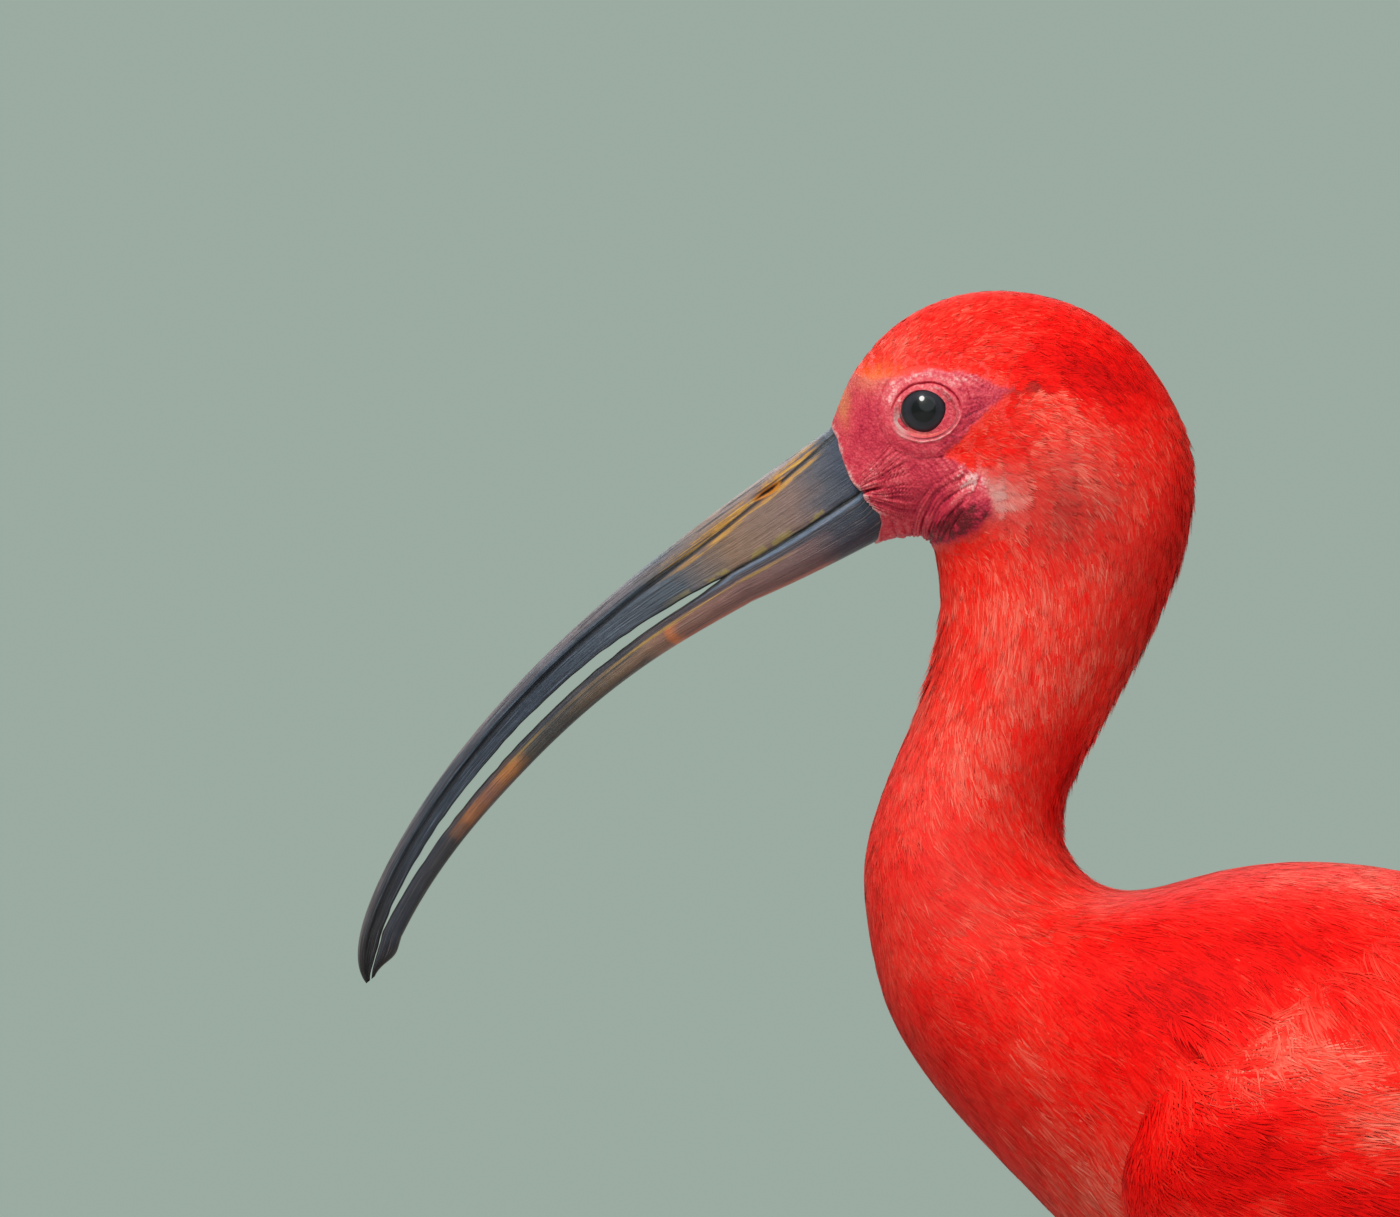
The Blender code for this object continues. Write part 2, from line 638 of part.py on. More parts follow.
def wing_vane(side, root, places, length, spacing, least_half_width, lift_at):
    """One vane that lies along a folded wing and overlaps the next one down by its lower edge.

    places are how far down the wing its root and tip are. lift_at gives its height off the trunk in mm
    at a share of its length, mm from the wing's front, and a place down the wing.
    """
    place, end_place = places
    grid, ups, thickness = [], [], []
    for share in (0.0, 0.3, 0.6, 0.88, 1.0) if length > LONG_VANE else (0.0, 0.45, 0.84, 1.0):
        s = root + length * share
        b = place + (end_place - place) * share
        u, angle = wing_place(s, b)
        breadth = wing_lower(u) - wing_upper(u)
        per_degree = np.linalg.norm(body_frame(u, angle)[3])
        half = max(VANE_REACH * spacing * breadth, least_half_width / per_degree) * vane_width(share)
        line, up_line = [], []
        for j in (-1, 1) if spacing else (-1, 0, 1):
            turn = j * half
            across = turn / breadth
            point, normal, _, _ = body_frame(u, max(angle + turn, LEAST_ANGLE))
            lift = lift_at(share, s, b + across)
            if spacing:
                lift += LAYER * across / spacing
            line.append((point + normal * lift) * (1, side, 1))
            up_line.append(normal * (1, side, 1))
        grid.append(line)
        ups.append(up_line)
        thickness.append([FEATHER] * len(line))
    return sheet("vane", grid, ups, thickness)


def wing_row(side, root, first, last, count, length, last_length, rise):
    """A row of vanes down the wing, each rooted in the slab."""
    spacing = (last - first) / (count - 1)

    def lift_at(share, s, b):
        return wing_depth(s, b) - ROOT_SINK * (1 - share) + rise * share

    vanes = []
    for i in range(count):
        place = first + spacing * i
        reach = length + (last_length - length) * i / (count - 1)
        vanes.append(wing_vane(side, root, (place, place), reach, spacing, LEAST_HALF_WIDTH, lift_at))
    return vanes


def primaries(side):
    """The long outer feathers, stacked under the others with only their ends in sight."""
    vanes = []
    for i in range(PRIMARY_COUNT):
        reach = PRIMARY_TIP - PRIMARY_STEP * i - PRIMARY_ROOT
        height = WING_LIFT + FEATHER / 2 + LAYER * i
        places = [place - PRIMARY_SHIFT * i for place in PRIMARY_PLACES]

        def lift_at(share, s, b, height=height):
            return height

        vanes.append(wing_vane(side, PRIMARY_ROOT, places, reach, 0.0, PRIMARY_HALF_WIDTH, lift_at))
    return vanes


def make_wing(name, side, material):
    """A folded wing: a slab for the arm, with its coverts, scapulars and flight feathers."""
    core = wing_body(name, side, WING_CORE_LENGTH, 10, 8, material)
    vanes = primaries(side)
    for row in WING_ROWS.values():
        vanes += wing_row(side, *row)
    return combine(core, vanes, "UNION")


def tail_axes():
    """The directions along the tail and up from it."""
    slope = math.radians(TAIL_SLOPE)
    way = np.array((math.cos(slope), 0.0, -math.sin(slope)))
    return way, np.array((math.sin(slope), 0.0, math.cos(slope)))


def tail_vane(side, pair):
    """A tail feather of this pair, the middle ones uppermost and the right one over the left."""
    way, up = tail_axes()
    order = pair + 1 if side < 0 or pair else 0
    length = TAIL_LENGTH - TAIL_STEP * pair
    grid, ups, thickness = [], [], []
    for share in (0.0, 0.5, 0.9, 1.0):
        pitch = TAIL_PITCH[0] + (TAIL_PITCH[1] - TAIL_PITCH[0]) * share
        width = TAIL_HALF_WIDTH * vane_width(share)
        line = []
        for j in (-1, 0, 1):
            y = side * (pair + 0.5) * pitch + j * width
            height = -LAYER * order - TAIL_ARCH * y * y
            root = np.array((TAIL_AT[0], y, TAIL_AT[1]))
            line.append(root + way * length * share + up * height)
        grid.append(line)
        ups.append([up] * 3)
        thickness.append([FEATHER] * 3)
    return sheet("tail_vane", grid, ups, thickness)


def make_tail(name, material):
    """Twelve overlapping feathers on a plug that carries the body's outline on."""
    way, up = tail_axes()
    rings = [body_ring(TAIL_ROOT, 24, GAP / 2)]
    for reach, half_width, half_height in TAIL_PLUG:
        centre = np.array((TAIL_AT[0], 0.0, TAIL_AT[1])) + way * reach - up * LAYER * 3
        ring = []
        for i in range(24):
            turn = 2 * math.pi * i / 24
            across = np.array((0.0, half_width * math.sin(turn), 0.0))
            ring.append(centre + up * half_height * math.cos(turn) + across)
        rings.append(ring)
    plug = loft(name, rings, material)
    vanes = [tail_vane(side, pair) for pair in range(TAIL_PAIRS) for side in SIDES.values()]
    return combine(plug, vanes, "UNION")


def limb(name, start, end, places, fore, sidewise, first, last, count, material, steps=10):
    """A tapering limb between two joints, from share first to share last of its length."""
    fore_at, side_at = spline(places, fore), spline(places, sidewise)
    start, end = np.array(start), np.array(end)
    way = (end - start) / np.linalg.norm(end - start)
    lateral = np.array((0.0, 1.0, 0.0))
    lateral = lateral - way * (lateral @ way)
    lateral /= np.linalg.norm(lateral)
    ahead = np.cross(lateral, way)
    rings = []
    for i in range(steps + 1):
        share = first + (last - first) * i / steps
        shift = GAP / 2 if i == 0 else -GAP / 2 if i == steps else 0.0
        middle = start + (end - start) * share + way * shift
        ring = []
        for j in range(count):
            turn = 2 * math.pi * j / count
            forward = ahead * fore_at(share) * math.cos(turn)
            ring.append(middle + forward + lateral * side_at(share) * math.sin(turn))
        rings.append(ring)
    return loft(name, rings, material)


def foot_place(side):
    """Where the middle of a foot stands."""
    return np.array((FOOT_X + side * FOOT_STAGGER, ANKLE[1] * side, 0.0))


def leg_foot(side):
    """Where the line of a leg ends, inside its foot."""
    return foot_place(side) + np.array((0, 0, FOOT_RISE))


def ankle_place(side):
    """The ankle moves half as far as the foot does."""
    return np.array((ANKLE[0] + side * FOOT_STAGGER / 2, ANKLE[1] * side, ANKLE[2]))


def flat_ring(centre, way, half_width, height, base=0.0):
    """A section of a toe: an arch on a flat sole."""
    across = np.array((-way[1], way[0], 0.0))
    shape = ((0.76, 0.0), (1.0, 0.42), (0.52, 1.0), (-0.52, 1.0), (-1.0, 0.42), (-0.76, 0.0))
    return [centre + across * half_width * a + np.array((0.0, 0.0, base + height * h)) for a, h in shape]


def toe_direction(name, side):
    """The direction of a toe on the floor."""
    turn = math.radians(TOES[name][1])
    return np.array((-math.cos(turn), -side * math.sin(turn), 0.0))


def make_toe(name, side):
    """A toe with its joints swollen and its sole flat on the floor."""
    length, _, half_width, joints = TOES[name]
    way = toe_direction(name, side)
    rings = []
    for i in range(TOE_RINGS + 1):
        share = i / TOE_RINGS
        swell = 1 + JOINT_SWELL * math.cos(2 * math.pi * joints * share)
        taper = 1 - TOE_TAPER * share
        width = half_width * taper * swell
        rings.append(flat_ring(foot_place(side) + way * length * share, way, width, width * TOE_HEIGHT))
    return loft("toe", rings)


def make_claw(name, toe, side, material):
    """A curved claw on the end of a toe, clear of the floor at its tip."""
    length, _, half_width, _ = TOES[toe]
    way = toe_direction(toe, side)
    start = foot_place(side) + way * (length + GAP)
    reach = CLAW_LENGTH * (HIND_CLAW if toe == "hind" else 1.0)
    width = half_width * CLAW_HALF_WIDTH
    rings = []
    for i in range(5):
        share = i / 4
        size = width * (1 - 0.86 * share**1.3)
        lift = 0.9 * math.sin(math.pi * (share * 0.8 + 0.1)) * (1 - share) + 0.35
        rings.append(flat_ring(start + way * reach * share, way, size, size * 2.0, lift))
    return loft(name, rings, material)


def make_foot(name, side, material):
    toes = [make_toe(toe, side) for toe in TOES]
    place = foot_place(side)
    pad_rings = []
    for i in range(5):
        h = i / 4
        size = math.sqrt(1 - SOLE_NARROWING * h * h)
        ring = []
        for turn in np.linspace(0, 2 * math.pi, 12, endpoint=False):
            out = size * math.cos(turn), size * math.sin(turn), h
            ring.append(place + np.array(SOLE_PAD) * out)
        pad_rings.append(ring)
    pad = loft(name, pad_rings, material)
    sizes = (TARSUS_PLACES, TARSUS_FORE_RADIUS, TARSUS_SIDE_RADIUS)
    stem = limb("stem", ankle_place(side), leg_foot(side), *sizes, TARSUS_END, 1.0, 12, None, 2)
    return combine(pad, [*toes, stem], "UNION")


def make_leg(word, side, down, skin):
    hip = np.array(HIP) * (1, side, 1)
    ankle = ankle_place(side)
    foot = leg_foot(side)
    sizes = (LEG_PLACES, LEG_FORE_RADIUS, LEG_SIDE_RADIUS)
    lower_sizes = (TARSUS_PLACES, TARSUS_FORE_RADIUS, TARSUS_SIDE_RADIUS)
    thigh = limb(f"thigh_{word}", hip, ankle, *sizes, 0.0, THIGH_END, 16, down, 8)
    clear_of_torso(thigh)
    shank = limb(f"shank_{word}", hip, ankle, *sizes, THIGH_END, 1.0, 12, skin)
    knuckle = limb("knuckle", ankle, foot, *lower_sizes, 0.0, ANKLE_END, 12, None, 2)
    combine(shank, [knuckle], "UNION")
    tarsus = limb(f"tarsus_{word}", ankle, foot, *lower_sizes, ANKLE_END, TARSUS_END, 12, skin, 8)
    return thigh, shank, tarsus


def clear_scene():
    for thing in list(bpy.data.objects):
        bpy.data.objects.remove(thing)


def main():
    clear_scene()
    plumage = paint("red_plumage", (0.75, 0.03, 0.012), 0.8)
    face = paint("bare_skin", (0.45, 0.05, 0.09), 0.6)
    upper_horn = paint("bill_horn", (0.12, 0.11, 0.12), 0.4)
    lower_horn = paint("lower_bill_horn", (0.16, 0.11, 0.1), 0.4)
    eye_gloss = paint("eye", (0.01, 0.008, 0.007), 0.08)
    leg_skin = paint("leg_skin", (0.5, 0.13, 0.12), 0.6)
    claw_horn = paint("claw_horn", (0.02, 0.015, 0.015), 0.4)

    make_head(face)
    body_piece("neck_upper", NECK_TOP, NECK_MIDDLE, 8, 26, plumage)
    body_piece("neck_lower", NECK_MIDDLE, NECK_ROOT, 6, 28, plumage)
    make_torso("torso", plumage)
    upper = make_bill("bill_upper", False, upper_horn)
    combine(upper, [nostril(side) for side in SIDES.values()], "DIFFERENCE")
    make_bill("bill_lower", True, lower_horn)
    make_tail("tail", plumage)
    for word, side in SIDES.items():
        eye_dome(f"eye_{word}", side, 0.0, eye_gloss)
        make_wing(f"wing_{word}", side, plumage)
        make_leg(word, side, plumage, leg_skin)
        make_foot(f"foot_{word}", side, leg_skin)
        for toe in TOES:
            make_claw(f"claw_{word}_{toe}", toe, side, claw_horn)


main()
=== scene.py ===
"""The looks of a life-size scarlet ibis: skin, eyes, bill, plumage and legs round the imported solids.

The skin and every feather are laid out on the lofted lines that the solids are built from, so those lines are
repeated here, in mm. A place on the body is a station from the bill (0) to the tail root (19), and a turn in
degrees round the section there: 0 on the back, 90 on the right flank, 180 on the belly, 270 on the left flank.
"""

import itertools
import math

import bmesh
import bpy
import numpy as np
from bpy.props import FloatProperty, FloatVectorProperty, PointerProperty
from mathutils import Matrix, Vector


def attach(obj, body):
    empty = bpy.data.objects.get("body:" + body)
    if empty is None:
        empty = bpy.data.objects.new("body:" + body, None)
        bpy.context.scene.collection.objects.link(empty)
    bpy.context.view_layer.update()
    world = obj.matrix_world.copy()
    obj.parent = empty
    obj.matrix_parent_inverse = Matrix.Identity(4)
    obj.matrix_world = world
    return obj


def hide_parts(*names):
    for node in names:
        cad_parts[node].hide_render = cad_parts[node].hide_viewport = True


bl_info = {
    "name": "Scarlet ibis",
    "version": (1, 0, 0),
    "blender": (4, 5, 0),
    "location": "3D View > Sidebar > Ibis",
    "description": "Dresses the solids of a life-size scarlet ibis in skin, horn and feathers",
    "category": "Object",
}

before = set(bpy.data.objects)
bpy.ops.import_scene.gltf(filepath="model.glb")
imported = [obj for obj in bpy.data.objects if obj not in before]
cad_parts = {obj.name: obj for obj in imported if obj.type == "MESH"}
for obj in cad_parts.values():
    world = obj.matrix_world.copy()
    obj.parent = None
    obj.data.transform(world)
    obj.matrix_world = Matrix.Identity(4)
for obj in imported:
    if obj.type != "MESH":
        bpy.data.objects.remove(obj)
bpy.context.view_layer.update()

MM = 0.001
ACROSS, UP = np.array((0.0, 1.0, 0.0)), np.array((0.0, 0.0, 1.0))
SIDES = {"left": -1, "right": 1}

# The body's lines: dorsal x and z, ventral x and z, and half the breadth
STATIONS = (
    (-107.5, 349.5, -99.0, 327.0, 8.4),
    (-100.5, 364.0, -93.0, 329.0, 11.8),
    (-87.5, 373.5, -89.5, 329.0, 14.3),
    (-72.5, 375.5, -88.0, 326.5, 15.6),
    (-57.5, 371.0, -87.5, 322.0, 16.3),
    (-45.5, 359.5, -87.0, 316.5, 16.6),
    (-39.0, 342.5, -87.5, 310.0, 16.8),
    (-42.0, 322.0, -90.0, 300.0, 17.0),
    (-53.0, 299.0, -95.5, 287.0, 17.5),
    (-62.5, 280.5, -100.0, 274.5, 18.2),
    (-62.0, 268.5, -101.5, 264.0, 20.0),
    (-52.0, 262.5, -100.0, 251.0, 24.0),
    (-37.0, 265.5, -95.5, 236.5, 31.5),
    (-19.0, 268.0, -83.5, 219.5, 39.5),
    (4.0, 265.5, -62.5, 197.5, 45.5),
    (30.0, 256.5, -31.0, 169.0, 48.0),
    (60.5, 242.5, 9.5, 151.5, 47.0),
    (90.5, 227.0, 53.0, 149.0, 41.0),
    (119.0, 212.0, 90.5, 158.5, 29.5),
    (141.5, 199.5, 119.0, 172.0, 18.0),
    (159.5, 190.0, 147.0, 172.0, 16.0),
    (177.5, 179.0, 167.0, 163.0, 13.0),
    (196.0, 167.5, 188.0, 155.5, 9.5),
)
LOW_FULLNESS = 0.08  # how much fuller a section is below its middle than above
NECK_STATION, TAIL_ROOT = 6.0, 19.0  # the stations where the head and the trunk end

MALAR_FROM, MALAR_TO = (0.5, 128.0), (4.3, 116.0)  # the fold of skin under the eye: station and turn
MALAR_HEIGHT, MALAR_SPREAD = 0.9, 9.0

EYE_AT = (-90.0, 352.7)
EYE_RADIUS, EYE_DEPTH, EYE_FORWARD = 5.6, 3.7, 0.12
CORNEA_RISE, CORNEA_REACH, EYE_RIM = 0.25, 2.6, 5.2  # mm from the eye's axis for the last two
MOUTH_START, MOUTH_CORNER = (-104.0, 336.6), (-96.8, 338.6)
CHIN_CENTRE, FAN_CENTRE = (-76.3, 327.1), (-104.6, 336.9)  # round which the face's folds run
RIDGE_LEVEL = 0.55  # the part of a fold's height that is level with the skin round it

# Where the feathers begin on the face, as x and z from the forehead over the eye and back under the cheek
FACE_EDGE = (
    (-104.3, 360.0), (-99.5, 358.6), (-95.3, 358.9), (-88.9, 360.4), (-80.2, 359.3), (-74.3, 356.3),
    (-80.0, 350.6), (-83.0, 347.4), (-85.6, 345.0), (-86.2, 343.8), (-82.8, 342.4), (-79.2, 340.4),
    (-77.6, 336.8), (-77.0, 333.3), (-79.4, 330.4), (-83.4, 328.4), (-88.2, 327.2), (-96.0, 318.0),
    (-120.0, 318.0), (-120.0, 370.0),
)  # fmt: skip
COAT_STATIONS = (0.0, 1.5, 4.0, 6.0, 9.0, 12.0, 15.0, 17.5, 20.0)
COAT_DEPTHS = (0.3, 0.45, 0.55, 0.65, 0.75, 0.9, 1.0, 1.0, 0.8)  # mm from the skin to the tips
COAT_EASE = 5.0  # mm over which the coat deepens from the bare face
FAR_FROM_FACE = 9.0  # mm, beyond which the face changes nothing


def unit(vectors):
    """The same directions with length 1."""
    return vectors / np.maximum(np.linalg.norm(vectors, axis=-1, keepdims=True), 1e-9)


def grid_of(a, b):
    """Every pair of one value of a and one of b, as two grids with a row for each of a."""
    return np.meshgrid(a, b, indexing="ij")


def path_length(points):
    """The way along a line from its first point to each of its points."""
    return np.concatenate(([0.0], np.cumsum(np.linalg.norm(np.diff(points, axis=0), axis=1))))


def smooth(value, low, high):
    """0 below low, 1 above high, and a smooth rise between."""
    share = np.clip((np.asarray(value, float) - low) / (high - low), 0.0, 1.0)
    return share * share * (3 - 2 * share)


def fall_off(value, low, high):
    return 1 - smooth(value, low, high)


def rise_fall(value, start, full, falling, end):
    """1 between full and falling, and 0 before start and after end."""
    return smooth(value, start, full) * fall_off(value, falling, end)


def bump(value, middle, reach):
    """A bell of height 1 round middle."""
    return np.exp(-(((value - middle) / reach) ** 2))


def angle_bump(degrees, middle, reach):
    """The same bell for angles in degrees."""
    return bump((degrees - middle + 180) % 360 - 180, 0, reach)


def cos_sin(degrees):
    return np.cos(np.radians(degrees)), np.sin(np.radians(degrees))


def noise(points, size, seed=0):
    """Smooth noise from -1 to 1 at points in mm, with spots about size mm across."""
    places = np.asarray(points, float) / size + 31.7 * (seed + 1)
    cell = np.floor(places).astype(np.int64)
    share = places - cell
    share = share * share * (3 - 2 * share)
    total = np.zeros(places.shape[:-1])
    for corner in itertools.product((0, 1), repeat=3):
        key = ((cell + corner) * (73856093, 19349663, 83492791)).sum(-1) + 2654435 * seed
        key = ((key ^ (key >> 13)) * 1274126177) & 0xFFFFFFFF
        value = ((key ^ (key >> 16)) & 0xFFFF) / 32767.5 - 1
        total += value * np.prod(np.where(corner, share, 1 - share), axis=-1)
    return total


def sheet_noise(a, b, size, seed):
    """The same noise over a sheet whose places are given by two measures."""
    return noise(np.stack((a, b, 0 * b), -1), size, seed)


def spline(knots, values):
    """The natural cubic spline through values at knots, as a function of any number of places."""
    knots, values = np.asarray(knots, float), np.asarray(values, float)
    count, steps = len(knots), np.diff(knots)
    flat = values.reshape(count, -1)
    matrix, right = np.eye(count), np.zeros_like(flat)
    for i in range(1, count - 1):
        matrix[i, i - 1 : i + 2] = steps[i - 1], 2 * (steps[i - 1] + steps[i]), steps[i]
        right[i] = 6 * ((flat[i + 1] - flat[i]) / steps[i] - (flat[i] - flat[i - 1]) / steps[i - 1])
    bends = np.linalg.solve(matrix, right)

    def at(places):
        places = np.asarray(places, float)
        i = np.clip(np.searchsorted(knots, places, side="right") - 1, 0, count - 2)
        step = steps[i][..., None]
        a = (knots[i + 1] - places)[..., None] / step
        b = 1 - a
        curve = (a**3 - a) * bends[i] + (b**3 - b) * bends[i + 1]
        found = a * flat[i] + b * flat[i + 1] + curve * step**2 / 6
        return found if values.ndim > 1 else found[..., 0]

    return at


def outline_distance(x, z, outline):
    """How far each point lies inside a closed outline in mm, or outside it where negative."""
    points = np.stack((x, z), -1)[..., None, :]
    a = np.array(outline)
    b = np.roll(a, -1, axis=0)
    way = b - a
    share = np.clip(((points - a) * way).sum(-1) / (way * way).sum(-1), 0, 1)
    gap = np.linalg.norm(points - a - share[..., None] * way, axis=-1).min(-1)
    crosses = (a[:, 1] > points[..., 1]) != (b[:, 1] > points[..., 1])
    slope = way[:, 0] / np.where(way[:, 1] == 0, 1e-9, way[:, 1])
    hits = crosses & (points[..., 0] < a[:, 0] + (points[..., 1] - a[:, 1]) * slope)
    return np.where(hits.sum(-1) % 2 == 1, gap, -gap)


body_line = spline(range(len(STATIONS)), STATIONS)


def body_point(u, turn):
    """Points of the body's outer form."""
    dorsal_x, dorsal_z, ventral_x, ventral_z, half = np.moveaxis(body_line(u), -1, 0)
    c, s = cos_sin(turn)
    x = (dorsal_x + ventral_x) / 2 + (dorsal_x - ventral_x) / 2 * c
    z = (dorsal_z + ventral_z) / 2 + (dorsal_z - ventral_z) / 2 * c
    return np.stack((x, half * s * (1 - LOW_FULLNESS * c), z), -1)


def normals_of(shape, a, b, step_a, step_b):
    """Unit normals of a shape that is a function of two numbers."""
    along = shape(a + step_a, b) - shape(a - step_a, b)
    around = shape(a, b + step_b) - shape(a, b - step_b)
    return unit(np.cross(along, around))


def body_normal(u, turn):
    return normals_of(body_point, u, turn, 0.02, 0.5)


def upright(turn):
    """The turn on the right flank that mirrors this one: 0 on the back to 180 on the belly."""
    turn = np.mod(turn, 360.0)
    return np.minimum(turn, 360.0 - turn)


def bare_depth(points):
    """How far a point of the head lies inside the bare face, in mm."""
    return outline_distance(points[..., 0], points[..., 2], FACE_EDGE)


def coat_depth(u, points):
    """The depth of the plumage in mm."""
    depth = np.interp(u, COAT_STATIONS, COAT_DEPTHS)
    near_face = np.asarray(u) < NECK_STATION
    away = np.where(near_face, -bare_depth(points), COAT_EASE)
    return depth * smooth(away, -0.5, COAT_EASE)


class Surface:
    """A smooth surface kept as a table, so that many feathers can be set on it at once."""

    def __init__(self, shape, a_range, b_range, counts, outward=1):
        a, b = (np.linspace(low, high, count) for (low, high), count in zip((a_range, b_range), counts))
        grid = grid_of(a, b)
        points = shape(*grid)
        along = np.gradient(points, a, axis=0)
        around = np.gradient(points, b, axis=1)
        self.table = np.concatenate((points, outward * unit(np.cross(along, around)), along, around), axis=-1)
        self.low, self.step = (a[0], b[0]), (a[1] - a[0], b[1] - b[0])

    def at(self, a, b):
        """Point, normal, and the steps for one unit of a and of b."""
        spots, shares = [], []
        for value, low, step, count in zip((a, b), self.low, self.step, self.table.shape):
            place = np.clip((value - low) / step, 0, count - 1.001)
            spot = place.astype(int)
            spots.append(spot)
            shares.append((place - spot)[..., None])
        (i, j), (p, q) = spots, shares
        table = self.table
        near = table[i, j] * (1 - q) + table[i, j + 1] * q
        far = table[i + 1, j] * (1 - q) + table[i + 1, j + 1] * q
        found = near * (1 - p) + far * p
        return found[..., :3], unit(found[..., 3:6]), found[..., 6:9], found[..., 9:]


def place_object(name, data):
    thing = bpy.data.objects.new(name, data)
    bpy.context.scene.collection.objects.link(thing)
    return thing


def mark(mesh, attributes, maps):
    """Gives a mesh attributes, by point, and maps, by point or by corner."""
    corners = np.empty(len(mesh.loops), np.int32)
    mesh.loops.foreach_get("vertex_index", corners)
    for key, values in attributes.items():
        layer = mesh.attributes.new(key, "FLOAT", "POINT")
        layer.data.foreach_set("value", np.asarray(values, np.float32).ravel())
    for key, values in maps.items():
        layer = mesh.uv_layers.new(name=key)
        values = np.asarray(values)
        layer.data.foreach_set("uv", (values[corners] if len(values) == len(mesh.vertices) else values).ravel())


def new_piece(name, points, faces, material, attributes=None, maps=None):
    """A mesh object from points in mm and faces of three or four corners each, with its root at the origin."""
    mesh = bpy.data.meshes.new(name)
    points = np.asarray(points, float).reshape(-1, 3)
    faces = [np.asarray(some, np.int64) for some in (faces if isinstance(faces, list) else [faces])]
    corners = np.concatenate([some.ravel() for some in faces])
    sizes = np.concatenate([np.full(len(some), some.shape[1]) for some in faces])
    mesh.vertices.add(len(points))
    mesh.vertices.foreach_set("co", (points * MM).ravel())
    mesh.loops.add(len(corners))
    mesh.loops.foreach_set("vertex_index", corners.astype(np.int32))
    mesh.polygons.add(len(sizes))
    mesh.polygons.foreach_set("loop_start", np.concatenate(([0], np.cumsum(sizes)[:-1])).astype(np.int32))
    mesh.update(calc_edges=True)
    mark(mesh, attributes or {}, maps or {})
    mesh.polygons.foreach_set("use_smooth", np.ones(len(sizes), bool))
    mesh.materials.append(material)
    mesh.validate()
    return place_object(name, mesh)


def grid_faces(rows, columns, wrap=False, first=0):
    """The quads of a grid of points, row by row."""
    i, j = grid_of(np.arange(rows - 1), np.arange(columns if wrap else columns - 1))
    k = (j + 1) % columns
    a, b = first + i * columns, first + (i + 1) * columns
    return np.stack((a + j, b + j, b + k, a + k), -1).reshape(-1, 4)


def settle(piece, slot, *nodes):
    """A finished piece rides on the one body and stands for its nodes. slot is not used."""
    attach(piece, "root")
    if nodes:
        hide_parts(*nodes)
    return piece


class Value:
    """What a node puts out. Arithmetic on it adds the nodes that work the result out."""

    def __init__(self, graph, socket):
        self.graph, self.socket = graph, socket

    def __add__(self, other):
        return self.graph.math("ADD", self, other)

    def __mul__(self, other):
        return self.graph.math("MULTIPLY", self, other)

    def __sub__(self, other):
        return self.graph.math("SUBTRACT", self, other)

    def __rsub__(self, other):
        return self.graph.math("SUBTRACT", other, self)

    __radd__, __rmul__ = __add__, __mul__


class Graph:
    """Adds nodes to a tree: inputs are plain values or other nodes' Values, by socket name or number."""

    def __init__(self, tree):
        self.tree = tree

    def put(self, value, socket):
        """Links a Value to a socket, or sets the socket's own value. A colour is given by three numbers."""
        if isinstance(value, Value):
            self.tree.links.new(value.socket, socket)
        else:
            socket.default_value = (*value, 1.0) if socket.type == "RGBA" else value

    def add(self, kind, inputs=None, out=0, **settings):
        node = self.tree.nodes.new(kind)
        for key, value in settings.items():
            setattr(node, key, value)
        for key, value in (inputs or {}).items():
            self.put(value, node.inputs[key])
        return Value(self, node.outputs[out])

    def ramp(self, share, stops):
        node = self.tree.nodes.new("ShaderNodeValToRGB")
        self.put(share, node.inputs[0])
        elements = node.color_ramp.elements
        while len(elements) < len(stops):
            elements.new(1.0)
        for element, (place, colour) in zip(elements, stops):
            element.position = place
            element.color = (*colour, 1.0)
        return Value(self, node.outputs[0])

    def mix(self, share, a, b):
        return self.add("ShaderNodeMix", {0: share, 6: a, 7: b}, 2, data_type="RGBA")

    def layers(self, colour, *layers):
        """A colour with others laid over it, each by its own share."""
        for share, over in layers:
            colour = self.mix(share, colour, over)
        return colour

    def math(self, operation, a, b=0.0, clamp=False):
        return self.add("ShaderNodeMath", {0: a, 1: b}, operation=operation, use_clamp=clamp)

    def between(self, value, low, high):
        """0 at low and 1 at high, smoothly."""
        span = {"Value": value, "From Min": low, "From Max": high}
        return self.add("ShaderNodeMapRange", span, interpolation_type="SMOOTHSTEP")

    def fall(self, value, low, high):
        return 1.0 - self.between(value, low, high)

    def band(self, value, start, full, falling, end):
        """1 between full and falling, and 0 before start and after end."""
        return self.between(value, start, full) * self.fall(value, falling, end)

    def spots(self, size, detail=3.0, stretch=(1, 1, 1), where="Object", rough=0.5):
        """Noise from 0 to 1 with spots of this size in metres, stretched along some axes."""
        place = self.add("ShaderNodeTexCoord", out=where) if where != "grain" else self.map("grain")
        scaled = self.add("ShaderNodeMapping", {0: place, 3: tuple(1 / s for s in stretch)})
        return self.add(
            "ShaderNodeTexNoise", {"Vector": scaled, "Scale": 1 / size, "Detail": detail, "Roughness": rough}
        )

    def map(self, name):
        return self.add("ShaderNodeUVMap", uv_map=name)

    def attribute(self, name):
        return self.add("ShaderNodeAttribute", out="Fac", attribute_name=name)

    def mottle(self, colour, size, amount):
        """(colour, height) of the shared mottle."""
        node = self.tree.nodes.new("ShaderNodeGroup")
        node.node_tree = node_group("mottle", "ShaderNodeTree", MOTTLE_SOCKETS, fill_mottle)
        for key, value in (("Colour", colour), ("Size", size), ("Amount", amount)):
            self.put(value, node.inputs[key])
        return Value(self, node.outputs["Colour"]), Value(self, node.outputs["Height"])


